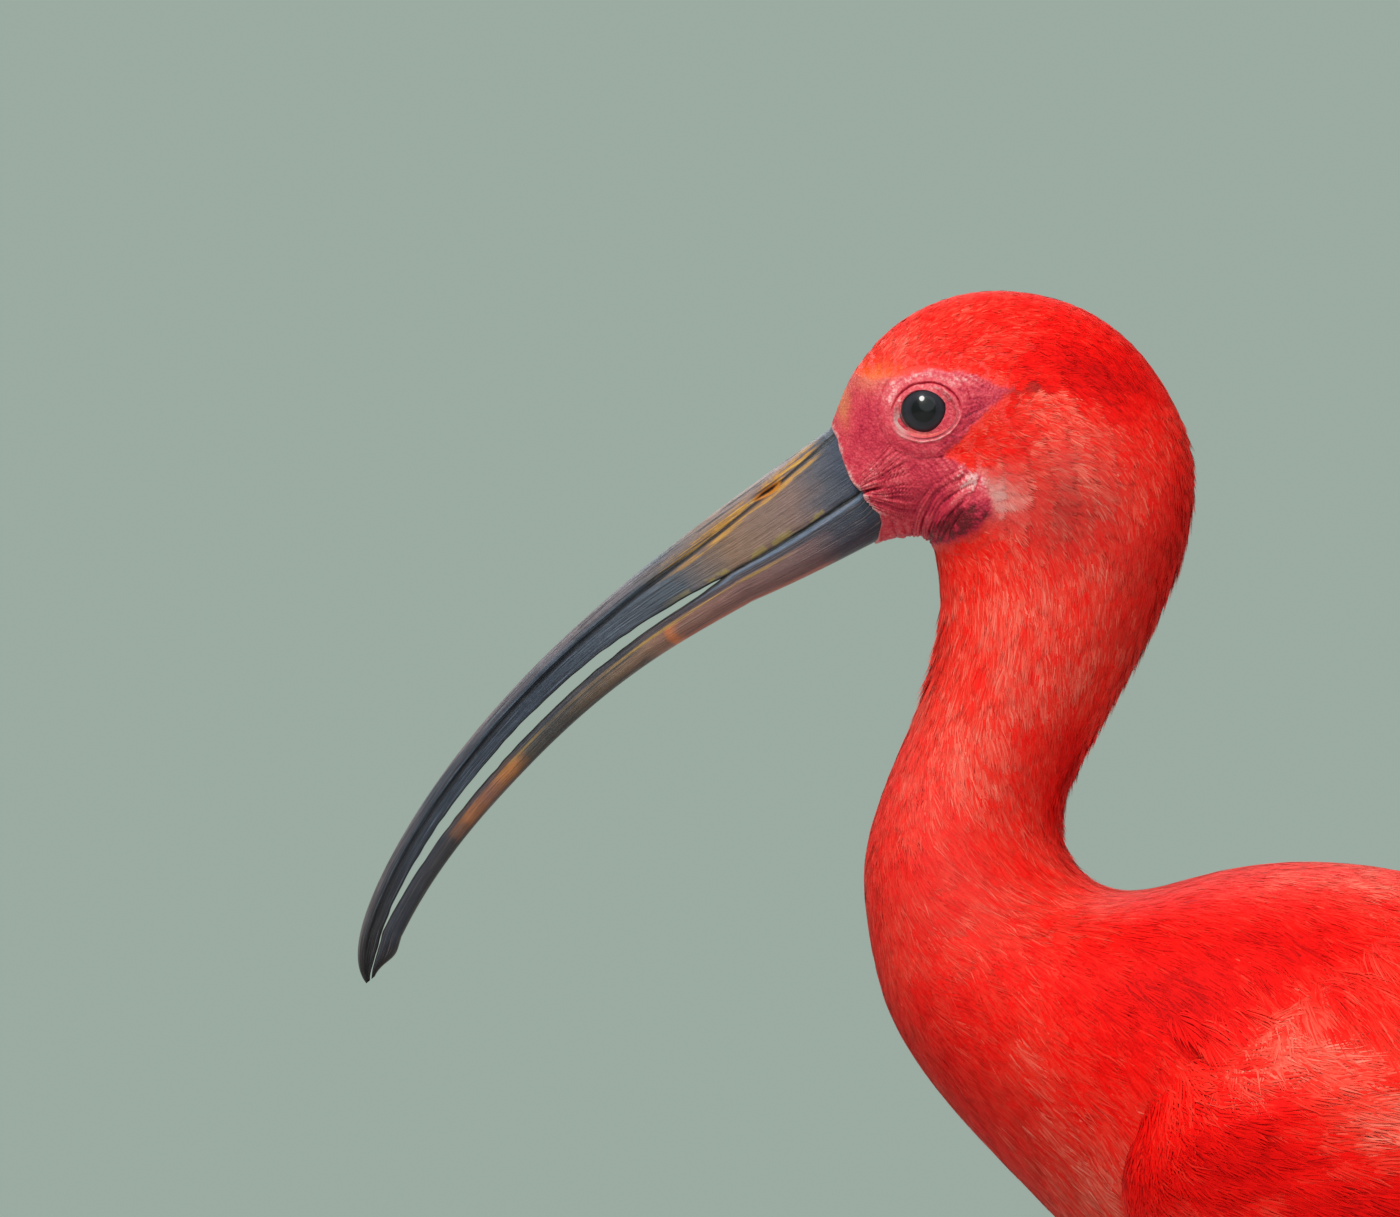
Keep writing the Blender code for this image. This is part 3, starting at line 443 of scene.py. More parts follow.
class Finish(Graph):
    """The graph of a new material, with its shader's plain values set."""

    def __init__(self, name, **plain):
        self.material = bpy.data.materials.new(name)
        self.material.use_nodes = True
        super().__init__(self.material.node_tree)
        self.shader = self.tree.nodes["Principled BSDF"]
        for key, value in plain.items():
            self.put(value, self.shader.inputs[key.replace("_", " ")])

    def wire(self, colour, roughness=None, height=None, depth=0.0001):
        """Joins the results to the shader and gives the material. The height is in shares of depth, in metres."""
        self.put(colour, self.shader.inputs["Base Color"])
        if roughness is not None:
            self.put(roughness, self.shader.inputs["Roughness"])
        if height is not None:
            relief = self.add("ShaderNodeBump", {"Height": height, "Distance": depth, "Strength": 1.0})
            self.put(relief, self.shader.inputs["Normal"])
        return self.material


def node_group(name, kind, sockets, fill):
    """The node group of this name, made once. fill gets its graph, its inputs and the sockets of its results."""
    if name not in bpy.data.node_groups:
        tree = bpy.data.node_groups.new(name, kind)
        for socket, holds, way in sockets:
            tree.interface.new_socket(socket, in_out=way, socket_type="NodeSocket" + holds)
        g = Graph(tree)
        given = {socket.name: Value(g, socket) for socket in tree.nodes.new("NodeGroupInput").outputs}
        fill(g, given, tree.nodes.new("NodeGroupOutput").inputs)
    return bpy.data.node_groups[name]


MOTTLE_SOCKETS = (
    ("Colour", "Color", "INPUT"), ("Size", "Float", "INPUT"), ("Amount", "Float", "INPUT"),
    ("Colour", "Color", "OUTPUT"), ("Height", "Float", "OUTPUT"),
)  # fmt: skip


def fill_mottle(g, given, results):
    """A shared effect: a colour that wanders lighter and darker in spots, and the spots' height."""
    place, scale = g.add("ShaderNodeTexCoord", out="Object"), g.math("DIVIDE", 1.0, given["Size"])
    spots = g.add("ShaderNodeTexNoise", {"Vector": place, "Scale": scale, "Detail": 4.0, "Roughness": 0.6})
    value = 1.0 + (spots - 0.5) * given["Amount"] * 2.0
    g.put(g.add("ShaderNodeHueSaturation", {"Value": value, "Color": given["Colour"]}), results["Colour"])
    g.put(spots, results["Height"])


# The plumage's reds, from the deepest to the palest
PLUMAGE_STOPS = (
    (0.0, (0.42, 0.001, 0.001)),
    (0.2, (0.70, 0.0015, 0.001)),
    (0.4, (0.87, 0.004, 0.002)),
    (0.6, (0.85, 0.032, 0.018)),
    (0.78, (0.90, 0.128, 0.086)),
    (1.0, (0.93, 0.29, 0.21)),
)


# What lies over the reds where a feather's attribute of that name says so
PLUMAGE_LAYERS = (
    ("amber", (0.80, 0.30, 0.05)),
    # painted shade: a dark red laid where the shade attribute says the coat lies in shade
    ("shade", (0.20, 0.026, 0.022)),
    ("dust", (0.60, 0.36, 0.33)),
    ("ink", (0.012, 0.010, 0.012)),
)


def plumage_colour(g):
    """The coat's colour from its own attributes."""
    red = g.ramp(g.math("ADD", g.attribute("tone"), 0.0, clamp=True), PLUMAGE_STOPS)
    return g.layers(red, *((g.attribute(name), colour) for name, colour in PLUMAGE_LAYERS))


def plumage_finish(name, share=1.0):
    """Matt feathers, with a share of the soft sheen."""
    g = Finish(
        name, Roughness=0.6, Specular_IOR_Level=0.07, Sheen_Roughness=0.4, Sheen_Tint=(1.0, 0.45, 0.35),
        Sheen_Weight=share * bpy.context.scene.ibis_plumage.sheen,
    )  # fmt: skip
    colour, height = g.mottle(plumage_colour(g), 0.0016, 0.10)
    barbs = g.spots(0.00022, 2.0)
    return g.wire(colour, 0.48 + barbs * 0.28, barbs + height, 0.00006)


def skin_finish():
    """Bare crimson skin that turns to the plumage's own red under the coat."""
    g = Finish(
        "bare_crimson_skin", Roughness=0.5, Specular_IOR_Level=0.32, Subsurface_Weight=0.12,
        Subsurface_Radius=(1.0, 0.25, 0.15), Subsurface_Scale=0.0012,
    )  # fmt: skip
    pebble = g.add("ShaderNodeTexVoronoi", {"Vector": g.add("ShaderNodeTexCoord", out="Object"), "Scale": 1900.0})
    fine = g.spots(0.00055, 4.0, rough=0.65)
    grain = (fine - 0.5) * 0.6 + (0.35 - pebble) * 0.22
    # The skin's tone and its grey layer carry painted light from the face's folds and the lids: paler crests as painted
    # highlight, darker grooves as painted shade
    blush = g.ramp(
        g.math("ADD", g.attribute("blush"), grain, clamp=True),
        (
            (0.0, (0.13, 0.001, 0.006)), (0.25, (0.40, 0.006, 0.034)), (0.5, (0.57, 0.031, 0.058)),
            (0.72, (0.69, 0.095, 0.118)), (1.0, (0.82, 0.45, 0.44)),
        ),
    )  # fmt: skip
    bare = g.layers(
        blush,
        (g.attribute("amber"), (0.72, 0.27, 0.08)),
        (g.attribute("ash"), (0.13, 0.07, 0.075)),
        (g.attribute("white"), (0.60, 0.42, 0.39)),
    )
    colour, height = g.mottle(g.mix(g.attribute("bare"), plumage_colour(g), bare), 0.003, 0.08)
    return g.wire(colour, 0.34 + fine * 0.34, pebble * -0.9 + fine * 1.4 + height, 0.00014)


# Soft patches, each with its middle's x and z, its reach in both in mm, and how much it adds.
# Tone makes the reds deeper (negative) or paler.
TONE_PATCHES = (
    (-68.0, 369.0, 22.0, 7.0, -0.10),  # crown
    (-56.0, 361.5, 11.0, 7.0, -0.36),
    (-98.0, 363.5, 4.0, 3.0, 0.14),
    (-74.5, 337.4, 4.0, 3.0, 0.08),
    (-64.0, 341.0, 9.0, 8.0, 0.06),
    (-42.0, 333.0, 6.0, 20.0, -0.12),  # nape
    (-74.0, 318.0, 9.0, 9.0, 0.10),  # side of the throat
    (-60.0, 284.0, 5.0, 15.0, -0.34),  # deep stripe down the hind neck
    (-81.0, 300.0, 8.0, 16.0, 0.10),
    (-92.0, 282.0, 8.0, 22.0, 0.05),
    (-97.0, 262.0, 8.0, 12.0, -0.05),
    (-88.0, 243.0, 8.0, 8.0, -0.12),
    (-66.0, 263.0, 12.0, 9.0, 0.04),
    (-50.0, 248.0, 14.0, 9.0, -0.32),  # mantle
    (-63.0, 235.0, 7.0, 11.0, -0.17),
    (-30.0, 256.0, 14.0, 4.5, -0.18),
    (-42.0, 257.0, 20.0, 5.0, -0.08),
    (-20.0, 264.0, 26.0, 4.0, 0.08),
    (-27.0, 235.0, 18.0, 9.0, 0.21),  # scapulars
    (-62.0, 216.0, 10.0, 14.0, 0.13),
    (-40.0, 217.0, 10.0, 9.0, -0.30),  # shoulder of the wing
    (-6.0, 219.5, 14.0, 5.0, 0.52),
    (-12.0, 206.0, 18.0, 8.0, -0.38),
    # painted shadow in the slit between the breast and the wing's front edge
    (-51.0, 217.0, 2.6, 9.0, -0.35),
    (-36.5, 208.0, 2.2, 7.0, 0.20),
)
AMBER_PATCHES = ((-100.6, 358.4, 3.0, 2.2, 0.30), (-97.0, 359.4, 3.0, 1.2, 0.16), (-105.4, 354.0, 1.2, 3.0, 0.4))
# Shade is painted shade: the reds darken where the lower cheek, the nape and the neck lie in shade
SHADE_PATCHES = (
    (-67.0, 336.0, 11.0, 9.0, 0.46), (-49.0, 331.0, 12.0, 25.0, 0.26), (-69.0, 302.0, 17.0, 24.0, 0.20),
    (-89.0, 262.0, 16.0, 18.0, 0.20),
)  # fmt: skip
DUST_PATCHES = (
    (-78.4, 337.3, 3.4, 3.6, 0.85),  # the pale spot behind the gape
    (-67.0, 345.0, 8.0, 8.0, 0.06), (-96.0, 362.0, 6.0, 5.0, 0.05), (-91.0, 285.0, 8.0, 22.0, 0.05),
)  # fmt: skip
CHEEK_LINE = ((-76.0, -71.7, -65.0, -58.0), (355.0, 356.6, 357.0, 353.0))  # where the cheek's feathers stop: x, z
PALEST_TONE = 0.74  # over which paler tones are held back


def patches(points, table):
    """The sum of soft patches at the x and z of points."""
    total = np.zeros(points.shape[:-1])
    for x, z, reach_x, reach_z, much in table:
        total += much * bump(points[..., 0], x, reach_x) * bump(points[..., 2], z, reach_z)
    return total


def plumage_marks(points):
    """The attributes that colour feathers rooted at points, which the skin under them shares."""
    x, z = points[..., 0], points[..., 2]
    drift = 0.08 * noise(points, 17.0, 3) + 0.06 * noise(points, 6.0, 4) + 0.05 * noise(points, 2.6, 5)
    tone = 0.54 + patches(points, TONE_PATCHES) + drift
    # The cheek's coral feathers stop along a line behind the eye, under the crown's deeper ones, and painted shadow
    # darkens that line
    over = z - np.interp(x, *CHEEK_LINE)
    here = bump(x, -67.0, 9.5) * smooth(x, -78.5, -75.0)
    tone += here * (0.08 * rise_fall(-over, -0.5, 1.0, 12.0, 20.0) - 0.20 * rise_fall(over, -0.5, 0.6, 5.0, 11.0))
    crease_shadow = here * bump(over, 0.3, 0.7) * rise_fall(x, -77.5, -76.0, -72.5, -68.5)
    # shade: the painted shade of the shade patches and the painted shadow along the cheek's line
    shade = np.clip(patches(points, SHADE_PATCHES) * (1 + 0.4 * noise(points, 5.0, 7)) + 0.85 * crease_shadow, 0, 1)
    dust = np.clip(patches(points, DUST_PATCHES) * (1 + 0.5 * noise(points, 1.8, 8)), 0, 1)
    amber = np.clip(patches(points, AMBER_PATCHES), 0, 1)
    tone = np.where(tone > PALEST_TONE, PALEST_TONE + 0.4 * (tone - PALEST_TONE), tone) - 0.25 * crease_shadow
    return {"tone": tone, "amber": amber, "shade": shade, "dust": dust, "ink": np.zeros_like(tone)}


def eye_axis(side):
    return unit(np.array((-EYE_FORWARD, side, 0.0)))


def find_on_side(x, z):
    """The head's station and turn that show at x, z in a side view."""
    u, turn = grid_of(np.linspace(0, 6, 241), np.linspace(20, 160, 281))
    points = body_point(u, turn)
    miss = np.hypot(points[..., 0] - x, points[..., 2] - z)
    spot = np.unravel_index(miss.argmin(), miss.shape)
    return u[spot], turn[spot]


def eye_centre(side):
    """The centre of an eyeball, set so that the lid's edge lies on the skin."""
    centre = body_point(*find_on_side(*EYE_AT)) * (1, side, 1)
    return centre - eye_axis(side) * EYE_DEPTH


def polar(points, x, z):
    """Distance and direction in degrees from x, z in a side view: 0 to the nape, 90 up, 180 to the bill."""
    x, z = points[..., 0] - x, points[..., 2] - z
    return np.hypot(x, z), np.degrees(np.arctan2(z, x)) % 360


def turned(x, z, degrees):
    """x and z turned, so that the first runs along degrees from +x."""
    c, s = cos_sin(degrees)
    return x * c + z * s, -x * s + z * c


def ridges(across, along, spacing, wander, seed):
    """Folds from 0 to 1 that run along, with a rounded crest and a sharp valley."""
    drift = sheet_noise(across, along * 0.6, 4.0, seed) * wander
    return np.abs(np.sin(np.pi * (across / spacing + drift))) ** 0.7


# The edge of the skin where it meets the bill, as x at heights z
EDGE_HEIGHTS = (326.0, 327.5, 328.3, 329.3, 331.3, 333.3, 334.8, 335.8, 337.1, 339.0, 340.8, 344.6, 347.9, 352.0)
EDGE_PLACES = (-98.6, -98.7, -98.8, -98.7, -98.3, -98.7, -99.9, -101.0, -101.5, -103.3, -104.4, -105.7, -106.5, -108.5)


def behind_bill(points):
    """How far behind the bill's base a point of the face lies, in mm."""
    return points[..., 0] - np.interp(points[..., 2], EDGE_HEIGHTS, EDGE_PLACES)


def lump(x, z):
    """1 on the dark swollen end of the cheek's fold, 0 off it."""
    along, up = turned(x + 83.0, z - 331.7, 23.0)
    return np.exp(-(((along / 6.4) ** 2 + (up / 3.0) ** 2) ** 2))


def face_folds(points):
    """The bare face's folds: their lift in mm, and their painted light: how much paler than the skin round them their
    crests are, as painted highlight, and how much darker their creases and the mouth's line are, as painted shade.
    """
    x, z = points[..., 0], points[..., 2]
    away, way = polar(points, *EYE_AT)
    wobble = noise(points, 3.4, 33)
    lift, shade = np.zeros_like(x), np.zeros_like(x)

    def add(zone, ridge, height, contrast):
        # painted light: each fold's crest is painted paler and its crease darker, in step with its lift
        lift[...] += height * zone * (ridge - RIDGE_LEVEL)
        shade[...] += contrast * zone * (ridge - RIDGE_LEVEL)

    # Long folds that climb back from the chin, with creases between them
    reach, round_by = polar(points, *CHIN_CENTRE)
    reach = reach + 0.35 * wobble
    zone = rise_fall(reach, 6.6, 8.6, 15.5, 18.0) * rise_fall(round_by, 96, 116, 176, 190)
    strong = zone * (0.65 + 0.5 * noise(points, 2.6, 34))
    add(strong, ridges(reach, round_by * 0.12, 1.8, 0.85, 11), 0.78, 0.42)
    add(zone, ridges(reach, round_by * 0.16, 0.76, 1.2, 18), 0.24, 0.24)
    # A net of fine creases between the eye and the swollen end
    along, up = turned(x + 84.0, z - 340.4, -25.0)
    zone = bump(along, 0.0, 6.6) * bump(up, 0.3, 3.6)
    add(zone, ridges(up, along * 0.4, 0.82, 0.8, 35), 0.22, 0.26)
    add(zone, ridges(turned(along, up, 62.0)[0], up, 1.1, 0.8, 36), 0.22, 0.26)
    # Fine creases fanned out behind the corner of the mouth
    out, fan = polar(points, *FAN_CENTRE)
    fan = (fan + 180) % 360 - 180 + 2.5 * wobble
    zone = rise_fall(out, 1.6, 3.6, 10.5, 14.5) * rise_fall(fan, -36, -22, 44, 58)
    add(zone, ridges(fan, out * 0.5, 6.4, 0.9, 12), 0.50, 0.42)
    add(zone, ridges(fan, out * 0.7, 2.6, 1.2, 19), 0.16, 0.20)
    # Folds down the chin
    zone = bump(z, 329.6, 2.6) * bump(x, -94.0, 4.0)
    add(zone, ridges(x + 0.35 * (z - 330) + 0.4 * wobble, z * 0.3, 2.0, 0.7, 20), 0.42, 0.30)
    # Creases drawn together to the corner behind the eye
    drawn = np.degrees(np.arctan2(z - 354.8, -(x + 75.0)))
    zone = rise_fall(x, -87.0, -82.0, -77.5, -75.5) * smooth(away, 6.9, 8.2)
    add(zone, ridges(drawn, x * 0.6, 9.0, 0.6, 13), 0.32, 0.34)
    # Arcs over the eye, with fine cross creases
    zone = rise_fall(away, 6.2, 7.2, 9.5, 12.0) * smooth(np.sin(np.radians(way)), -0.1, 0.5)
    add(zone, ridges(away + 0.4 * wobble, way / 14.0, 1.25, 0.9, 14), 0.15, 0.20)
    add(zone, ridges(way + 4 * wobble, away * 0.8, 5.5, 1.0, 24), 0.10, 0.16)
    # Beads behind and below the eye, and pebbles on the swollen end and along the chin
    swollen = lump(x, z)
    bead = noise(points, 0.85, 15)
    add(rise_fall(away, 6.6, 7.4, 9.0, 11.5) * angle_bump(way, 315.0, 50.0), bead, 0.20, 0.24)
    add(swollen, np.clip(bead, 0, 1) ** 1.5 * 1.6, 0.22, 0.40)
    add(bump(z, 328.2, 1.5) * smooth(-x, 85.0, 88.0) * smooth(x, -99.0, -96.0), bead, 0.26, 0.20)
    # The line of the mouth, carried on past the bill
    start, end = np.array(MOUTH_START), np.array(MOUTH_CORNER)
    line = end - start
    run = ((x - start[0]) * line[0] + (z - start[1]) * line[1]) / (line @ line)
    near = np.clip(run, 0, 1)
    off = np.hypot(x - start[0] - near * line[0], z - start[1] - near * line[1])
    mouth = bump(off, 0.0, 0.30) * fall_off(run, 0.6, 1.1)
    cushion = 1.2 * np.exp(-(((x + 84.0) / 7.0) ** 2 + ((z - 332.6) / 4.2) ** 2) ** 1.5)
    rough = 0.08 * noise(points, 1.3, 16) + 0.04 * noise(points, 0.6, 17)
    # the mouth's line is sunk and painted darker, as painted shade in its crease
    return lift - 0.8 * mouth + cushion + 0.3 * swollen + rough, shade - 0.6 * mouth


def face_relief(u, turn, points):
    """How far the bare face stands off the body's smooth form, in mm."""
    share = (u - MALAR_FROM[0]) / (MALAR_TO[0] - MALAR_FROM[0])
    middle = MALAR_FROM[1] + (MALAR_TO[1] - MALAR_FROM[1]) * share
    fade = np.maximum(0.0, np.sin(np.pi * np.clip(share + 0.12, 0.0, 1.12) / 1.12))
    lift = 0.7 * MALAR_HEIGHT * fade * bump(upright(turn), middle, MALAR_SPREAD)
    lift += 0.3 * bump(polar(points, *EYE_AT)[0], 0.0, 8.5) + face_folds(points)[0]
    lift -= 0.55 * fall_off(u, 0.0, 1.1) * smooth(upright(turn), 120, 165)
    return lift * smooth(bare_depth(points), -0.9, 0.6)


# Where the bare skin is paler, or deeper where negative
BLUSH_PATCHES = (
    (-90.0, 361.0, 8.0, 3.0, 0.06), (-101.0, 349.5, 3.0, 4.5, -0.16), (-97.5, 345.5, 3.0, 3.0, -0.08),
    (-89.0, 336.0, 7.5, 5.4, -0.19), (-84.0, 334.5, 5.0, 3.4, -0.05), (-97.5, 331.5, 3.2, 3.6, 0.10),
    (-79.5, 353.5, 4.5, 3.2, -0.22),
)  # fmt: skip
BLUSH_FLECKS, AMBER_FLECKS = ((-80.4, 339.4, 2.8, 1.8, 0.30),), ((-104.6, 354.5, 1.0, 4.5, 0.35),)


def face_marks(points):
    """The attributes that colour the bare skin: its tone from dark crimson (0) to pale pink (1) with the folds' painted
    highlight and painted shade in it, a grey ash layer, amber and bare.
    """
    x, z = points[..., 0], points[..., 2]
    away, way = polar(points, *EYE_AT)
    blush = 0.545 + 0.07 * noise(points, 4.5, 21) + 0.10 * noise(points, 1.8, 22) + 0.07 * noise(points, 0.9, 26)
    blush += patches(points, BLUSH_PATCHES) + 0.10 * bump(away, 0, 8.5) - 0.42 * lump(x, z)
    blush += patches(points, BLUSH_FLECKS) * (0.7 + 0.5 * noise(points, 0.9, 37))
    # the folds' painted highlight and painted shade go into the skin's tone here
    blush += face_folds(points)[1] - 0.12 * angle_bump(way, 330.0, 40.0) * bump(away, 8.2, 1.8)
    rim = behind_bill(points) + 0.35 * noise(points, 0.8, 25)
    edge = fall_off(rim, 0.25, 1.0) * smooth(359.0 - z, 0.0, 9.0)
    ash = 0.25 * edge + 0.35 * fall_off(np.hypot(x + 102.2, (z - 337.6) * 1.6), 0.4, 1.7)
    bare = smooth(bare_depth(points) + 0.3 * noise(points, 1.1, 23) + 0.25 * noise(points, 0.5, 27), -0.45, 0.45)
    marks = plumage_marks(points)
    amber = marks["amber"] + patches(points, AMBER_FLECKS) * (0.6 + 0.6 * noise(points, 1.4, 28))
    skin = {"blush": blush + 0.34 * edge, "amber": amber, "ash": ash, "white": 0 * x}
    return {**marks, "bare": bare, **{key: np.clip(values, 0, 1) for key, values in skin.items()}}


LID_TURNS = (0, 20, 42, 67, 90, 128, 160, 185, 199, 226, 250, 280, 305, 330, 350, 360)
LID_REACH = (6.9, 6.7, 6.1, 5.6, 5.15, 5.2, 5.5, 6.0, 6.4, 6.1, 5.6, 5.5, 5.8, 6.4, 6.9, 6.9)  # to the lids' outer rim
LID_OPENING, LID_DROP = (4.25, 3.85), 0.35  # half the length and height of the opening, and how far it hangs
LID_END = 9.4  # mm from the eye to the end of the lids' own surface
LID_DISCS, LID_DISC_RADIUS = {-1: (0.74, 0.90), 1: (0.91, 0.90)}, 0.075  # the lids' places on the baked map, by side


def lid_patch(side):
    """The lids of one eye, as rings of skin: 0 at the eyeball, 1 at the lids' outer rim and 3 on the face."""
    steps = np.concatenate((np.linspace(-0.5, 0.0, 5)[:-1], np.linspace(0.0, 1.3, 34)[:-1], np.linspace(1.3, 3.0, 14)))
    w, deg = grid_of(steps, np.arange(0, 360, 3.0))
    c, s = cos_sin(deg)
    long, tall = LID_OPENING
    gap = long * tall / np.hypot(tall * c, long * s)
    rim = np.interp(deg, LID_TURNS, LID_REACH)
    r = np.where(w < 1, gap + (rim - gap) * w, rim + (LID_END - rim) * (w - 1) / 2.0)
    points, normals = side_points(EYE_AT[0] + r * c, EYE_AT[1] - LID_DROP + r * s, side)
    upper = smooth(s, -0.15, 0.3)
    lower = angle_bump(deg, 295.0, 72.0) * (1 - upper)
    front = angle_bump(deg, 202.0, 24.0)
    reach = points - eye_centre(side)
    height = reach @ eye_axis(side)
    ball = np.sqrt(np.clip(EYE_RADIUS**2 - (reach**2).sum(-1) + height**2, 0.2, None)) - height  # over the skin
    lift = np.where(w < 0, ball - 0.7, ball + 0.08 + (0.30 - ball) * smooth(w, 0.0, 0.75))
    white = front * fall_off(w, 0.62, 0.86) * (w > 0)  # the skin in the front corner, close to the eyeball
    lift = np.where(w > 0, lift - 0.25 * white, lift)
    lift += (1 - white) * (0.26 * upper * bump(w, 0.45, 0.36) + 0.20 * lower * bump(w, 0.33, 0.24))
    lift += upper * (0.16 * bump(w, 1.22, 0.12) - 0.42 * bump(w, 1.02, 0.08))
    lift += lower * (0.30 * bump(w, 1.02, 0.12) - 0.40 * bump(w, 0.76, 0.10))
    crumple = sheet_noise(deg / 7.0, r * 1.1, 1.0, 31)
    beads = np.clip(sheet_noise(deg / 4.0, r * 1.6, 1.0, 32), 0, 1) * upper * bump(w, 0.62, 0.4)
    lift += (0.05 * crumple + 0.08 * beads) * smooth(w, 0.1, 0.5)
    lift = np.where(w > 0, lift * fall_off(r, 7.2, 8.9) + 0.05 - 0.5 * smooth(r, 8.7, LID_END), lift)
    points = points + normals * lift[..., None]
    marks = face_marks(points)
    # The lids' paler marks: the inner rim's own paler skin, and painted highlight on the lower lid's outer ridge and on
    # the beads' tops
    pale = 0.10 * bump(w, 0.04, 0.07) + 0.20 * beads + 0.10 * upper * bump(w, 0.5, 0.3)
    pale += lower * (0.30 * bump(w, 1.02, 0.13) + 0.06 * bump(w, 0.3, 0.2)) + 0.12 * upper * bump(w, 1.5, 0.4)
    # deep is painted shade in the grooves of the lids
    deep = 0.30 * bump(w, 1.02, 0.08) * upper + 0.12 * lower * bump(w, 1.35, 0.2)
    inside = (w > -0.1) & (w < 1.05)
    # The grey layer on the lids: painted shade in the lower lid's groove and on the skin tucked under the eyeball, and
    # in the front corner the membrane's mauve band, partly painted shade from the eyeball
    ash = 0.62 * lower * bump(w, 0.76, 0.11) + 0.75 * front * bump(w, 0.20, 0.05) + 0.30 * front * bump(w, 0.10, 0.1)
    pale_corner = 0.4 * angle_bump(deg, 226.0, 16.0) * bump(w, 0.95, 0.25)
    # the lids' tone also rises with the crumples, as painted highlight on them
    lids = {
        "blush": np.where(inside, 0.62, marks["blush"]) + pale - deep + 0.07 * crumple,
        "amber": marks["amber"] * fall_off(-r, -8.0, -6.5) + 0.22 * lower * bump(w, 0.30, 0.25),
        "ash": marks["ash"] * (w > 1) + ash + (w < 0) * 0.8,
        "white": 0.85 * white * smooth(w, 0.22, 0.30) + 0.35 * white * (w < 0.2) + pale_corner,
    }
    return points, {**marks, **{key: np.clip(values, 0, 1) for key, values in lids.items()}}


def side_points(x, z, side):
    """Points of the face and their normals where a side view shows x, z."""
    u = np.interp(x, (-108, -60), (0, 5)) * np.ones_like(z)
    turn = np.full_like(u, 70.0)
    for _ in range(12):  # Newton's steps on the smooth form
        here = body_point(u, turn)
        along = (body_point(u + 0.01, turn) - here) / 0.01
        around = (body_point(u, turn + 0.1) - here) / 0.1
        det = along[..., 0] * around[..., 2] - along[..., 2] * around[..., 0]
        det = np.where(np.abs(det) < 1e-3, 1e-3, det)
        miss_x, miss_z = x - here[..., 0], z - here[..., 2]
        u = np.clip(u + np.clip((miss_x * around[..., 2] - miss_z * around[..., 0]) / det, -0.5, 0.5), 0, 6)
        turn = np.clip(turn + np.clip((along[..., 0] * miss_z - along[..., 2] * miss_x) / det, -9, 9), 5, 175)
    base = body_point(u, turn)
    normal = body_normal(u, turn)
    points = base + normal * (face_relief(u, turn, base) - coat_depth(u, base))[..., None]
    return points * (1, side, 1), normal * (1, side, 1)


def unwrap_body(u, turn):
    """The body's places on the baked map, which fill its lower part."""
    return np.stack((0.02 + 0.96 * np.clip(u / 20.0, 0, 1) ** 0.6, 0.02 + 0.76 * turn / 360.0), -1)


def unwrap_limb(side, share, turn):
    """A thigh's places on the baked map, over the body's."""
    first = 0.02 if side < 0 else 0.34
    return np.stack((first + 0.28 * share, 0.82 + 0.16 * np.mod(turn, 360.0) / 360.0), -1)


SKIN_AROUND, FINE_SKIN = 304, 3.7  # columns of the skin's grid, and the station up to which its rows lie close
LID_EDGE = 8.6  # mm from the eye, where the lids' own surface takes over from the face


def skin_point(u, turn):
    """Points of the whole skin, sunk a little beneath the lids."""
    base = body_point(u, turn)
    lift = face_relief(u, turn, base) - coat_depth(u, base)
    under_lids = fall_off(polar(base, *EYE_AT)[0], LID_EDGE - 0.5, LID_EDGE + 0.4)
    lift -= 0.42 * under_lids * (np.asarray(u) < NECK_STATION)
    return base + body_normal(u, turn) * lift[..., None]


def first_station(turn):
    """The station where the skin starts behind the bill, by how far round from the back."""
    places, rounds = grid_of(np.linspace(0, 1.2, 241), np.linspace(0, 180, 91))
    starts = (behind_bill(body_point(places, rounds)) >= 0).argmax(0) * 0.005
    return np.interp(upright(turn), rounds[0], np.convolve(np.pad(starts, 1, "edge"), (0.25, 0.5, 0.25), "valid"))


def body_skin():
    """Points, faces, attributes and the corners' places on the map, for the head, neck and trunk in one."""
    rows = np.concatenate(
        (
            np.linspace(0, FINE_SKIN, 214)[:-1],
            np.linspace(FINE_SKIN, NECK_STATION, 16)[:-1],
            np.linspace(NECK_STATION, TAIL_ROOT, 40),
        )
    )
    share = np.arange(SKIN_AROUND) / SKIN_AROUND * 360.0
    turn = share + 13.0 * np.sin(np.radians(2 * share))  # columns crowd on the two sides of the face
    grid_u, grid_turn = grid_of(rows, turn)
    start = first_station(grid_turn)
    grid_u = np.where(grid_u < FINE_SKIN, start + (FINE_SKIN - start) * grid_u / FINE_SKIN, grid_u)
    points = skin_point(grid_u, grid_turn)
    # Lips under the skin's edge close it on to the bill, and a smaller ring closes it under the tail
    normal, ahead = body_normal(grid_u[0], turn), unit(points[0] - points[2])
    lips = [points[0] - normal * 1.3, points[0] - normal * 0.22 + ahead * 0.22]
    middle = points[-1].mean(0)
    points = np.concatenate((np.array(lips), points, (middle + (points[-1] - middle) * 0.5)[None]))
    grid_u = np.concatenate((grid_u[:1], grid_u[:1], grid_u, grid_u[-1:]))
    faces = grid_faces(len(points), SKIN_AROUND, wrap=True)
    row, column = np.divmod(faces, SKIN_AROUND)
    last = (column == 0) & (faces[:, :1] % SKIN_AROUND == SKIN_AROUND - 1)
    corners = unwrap_body(grid_u[row, column], np.where(last, 360.0, share[column]))
    return points, faces, face_marks(points), corners


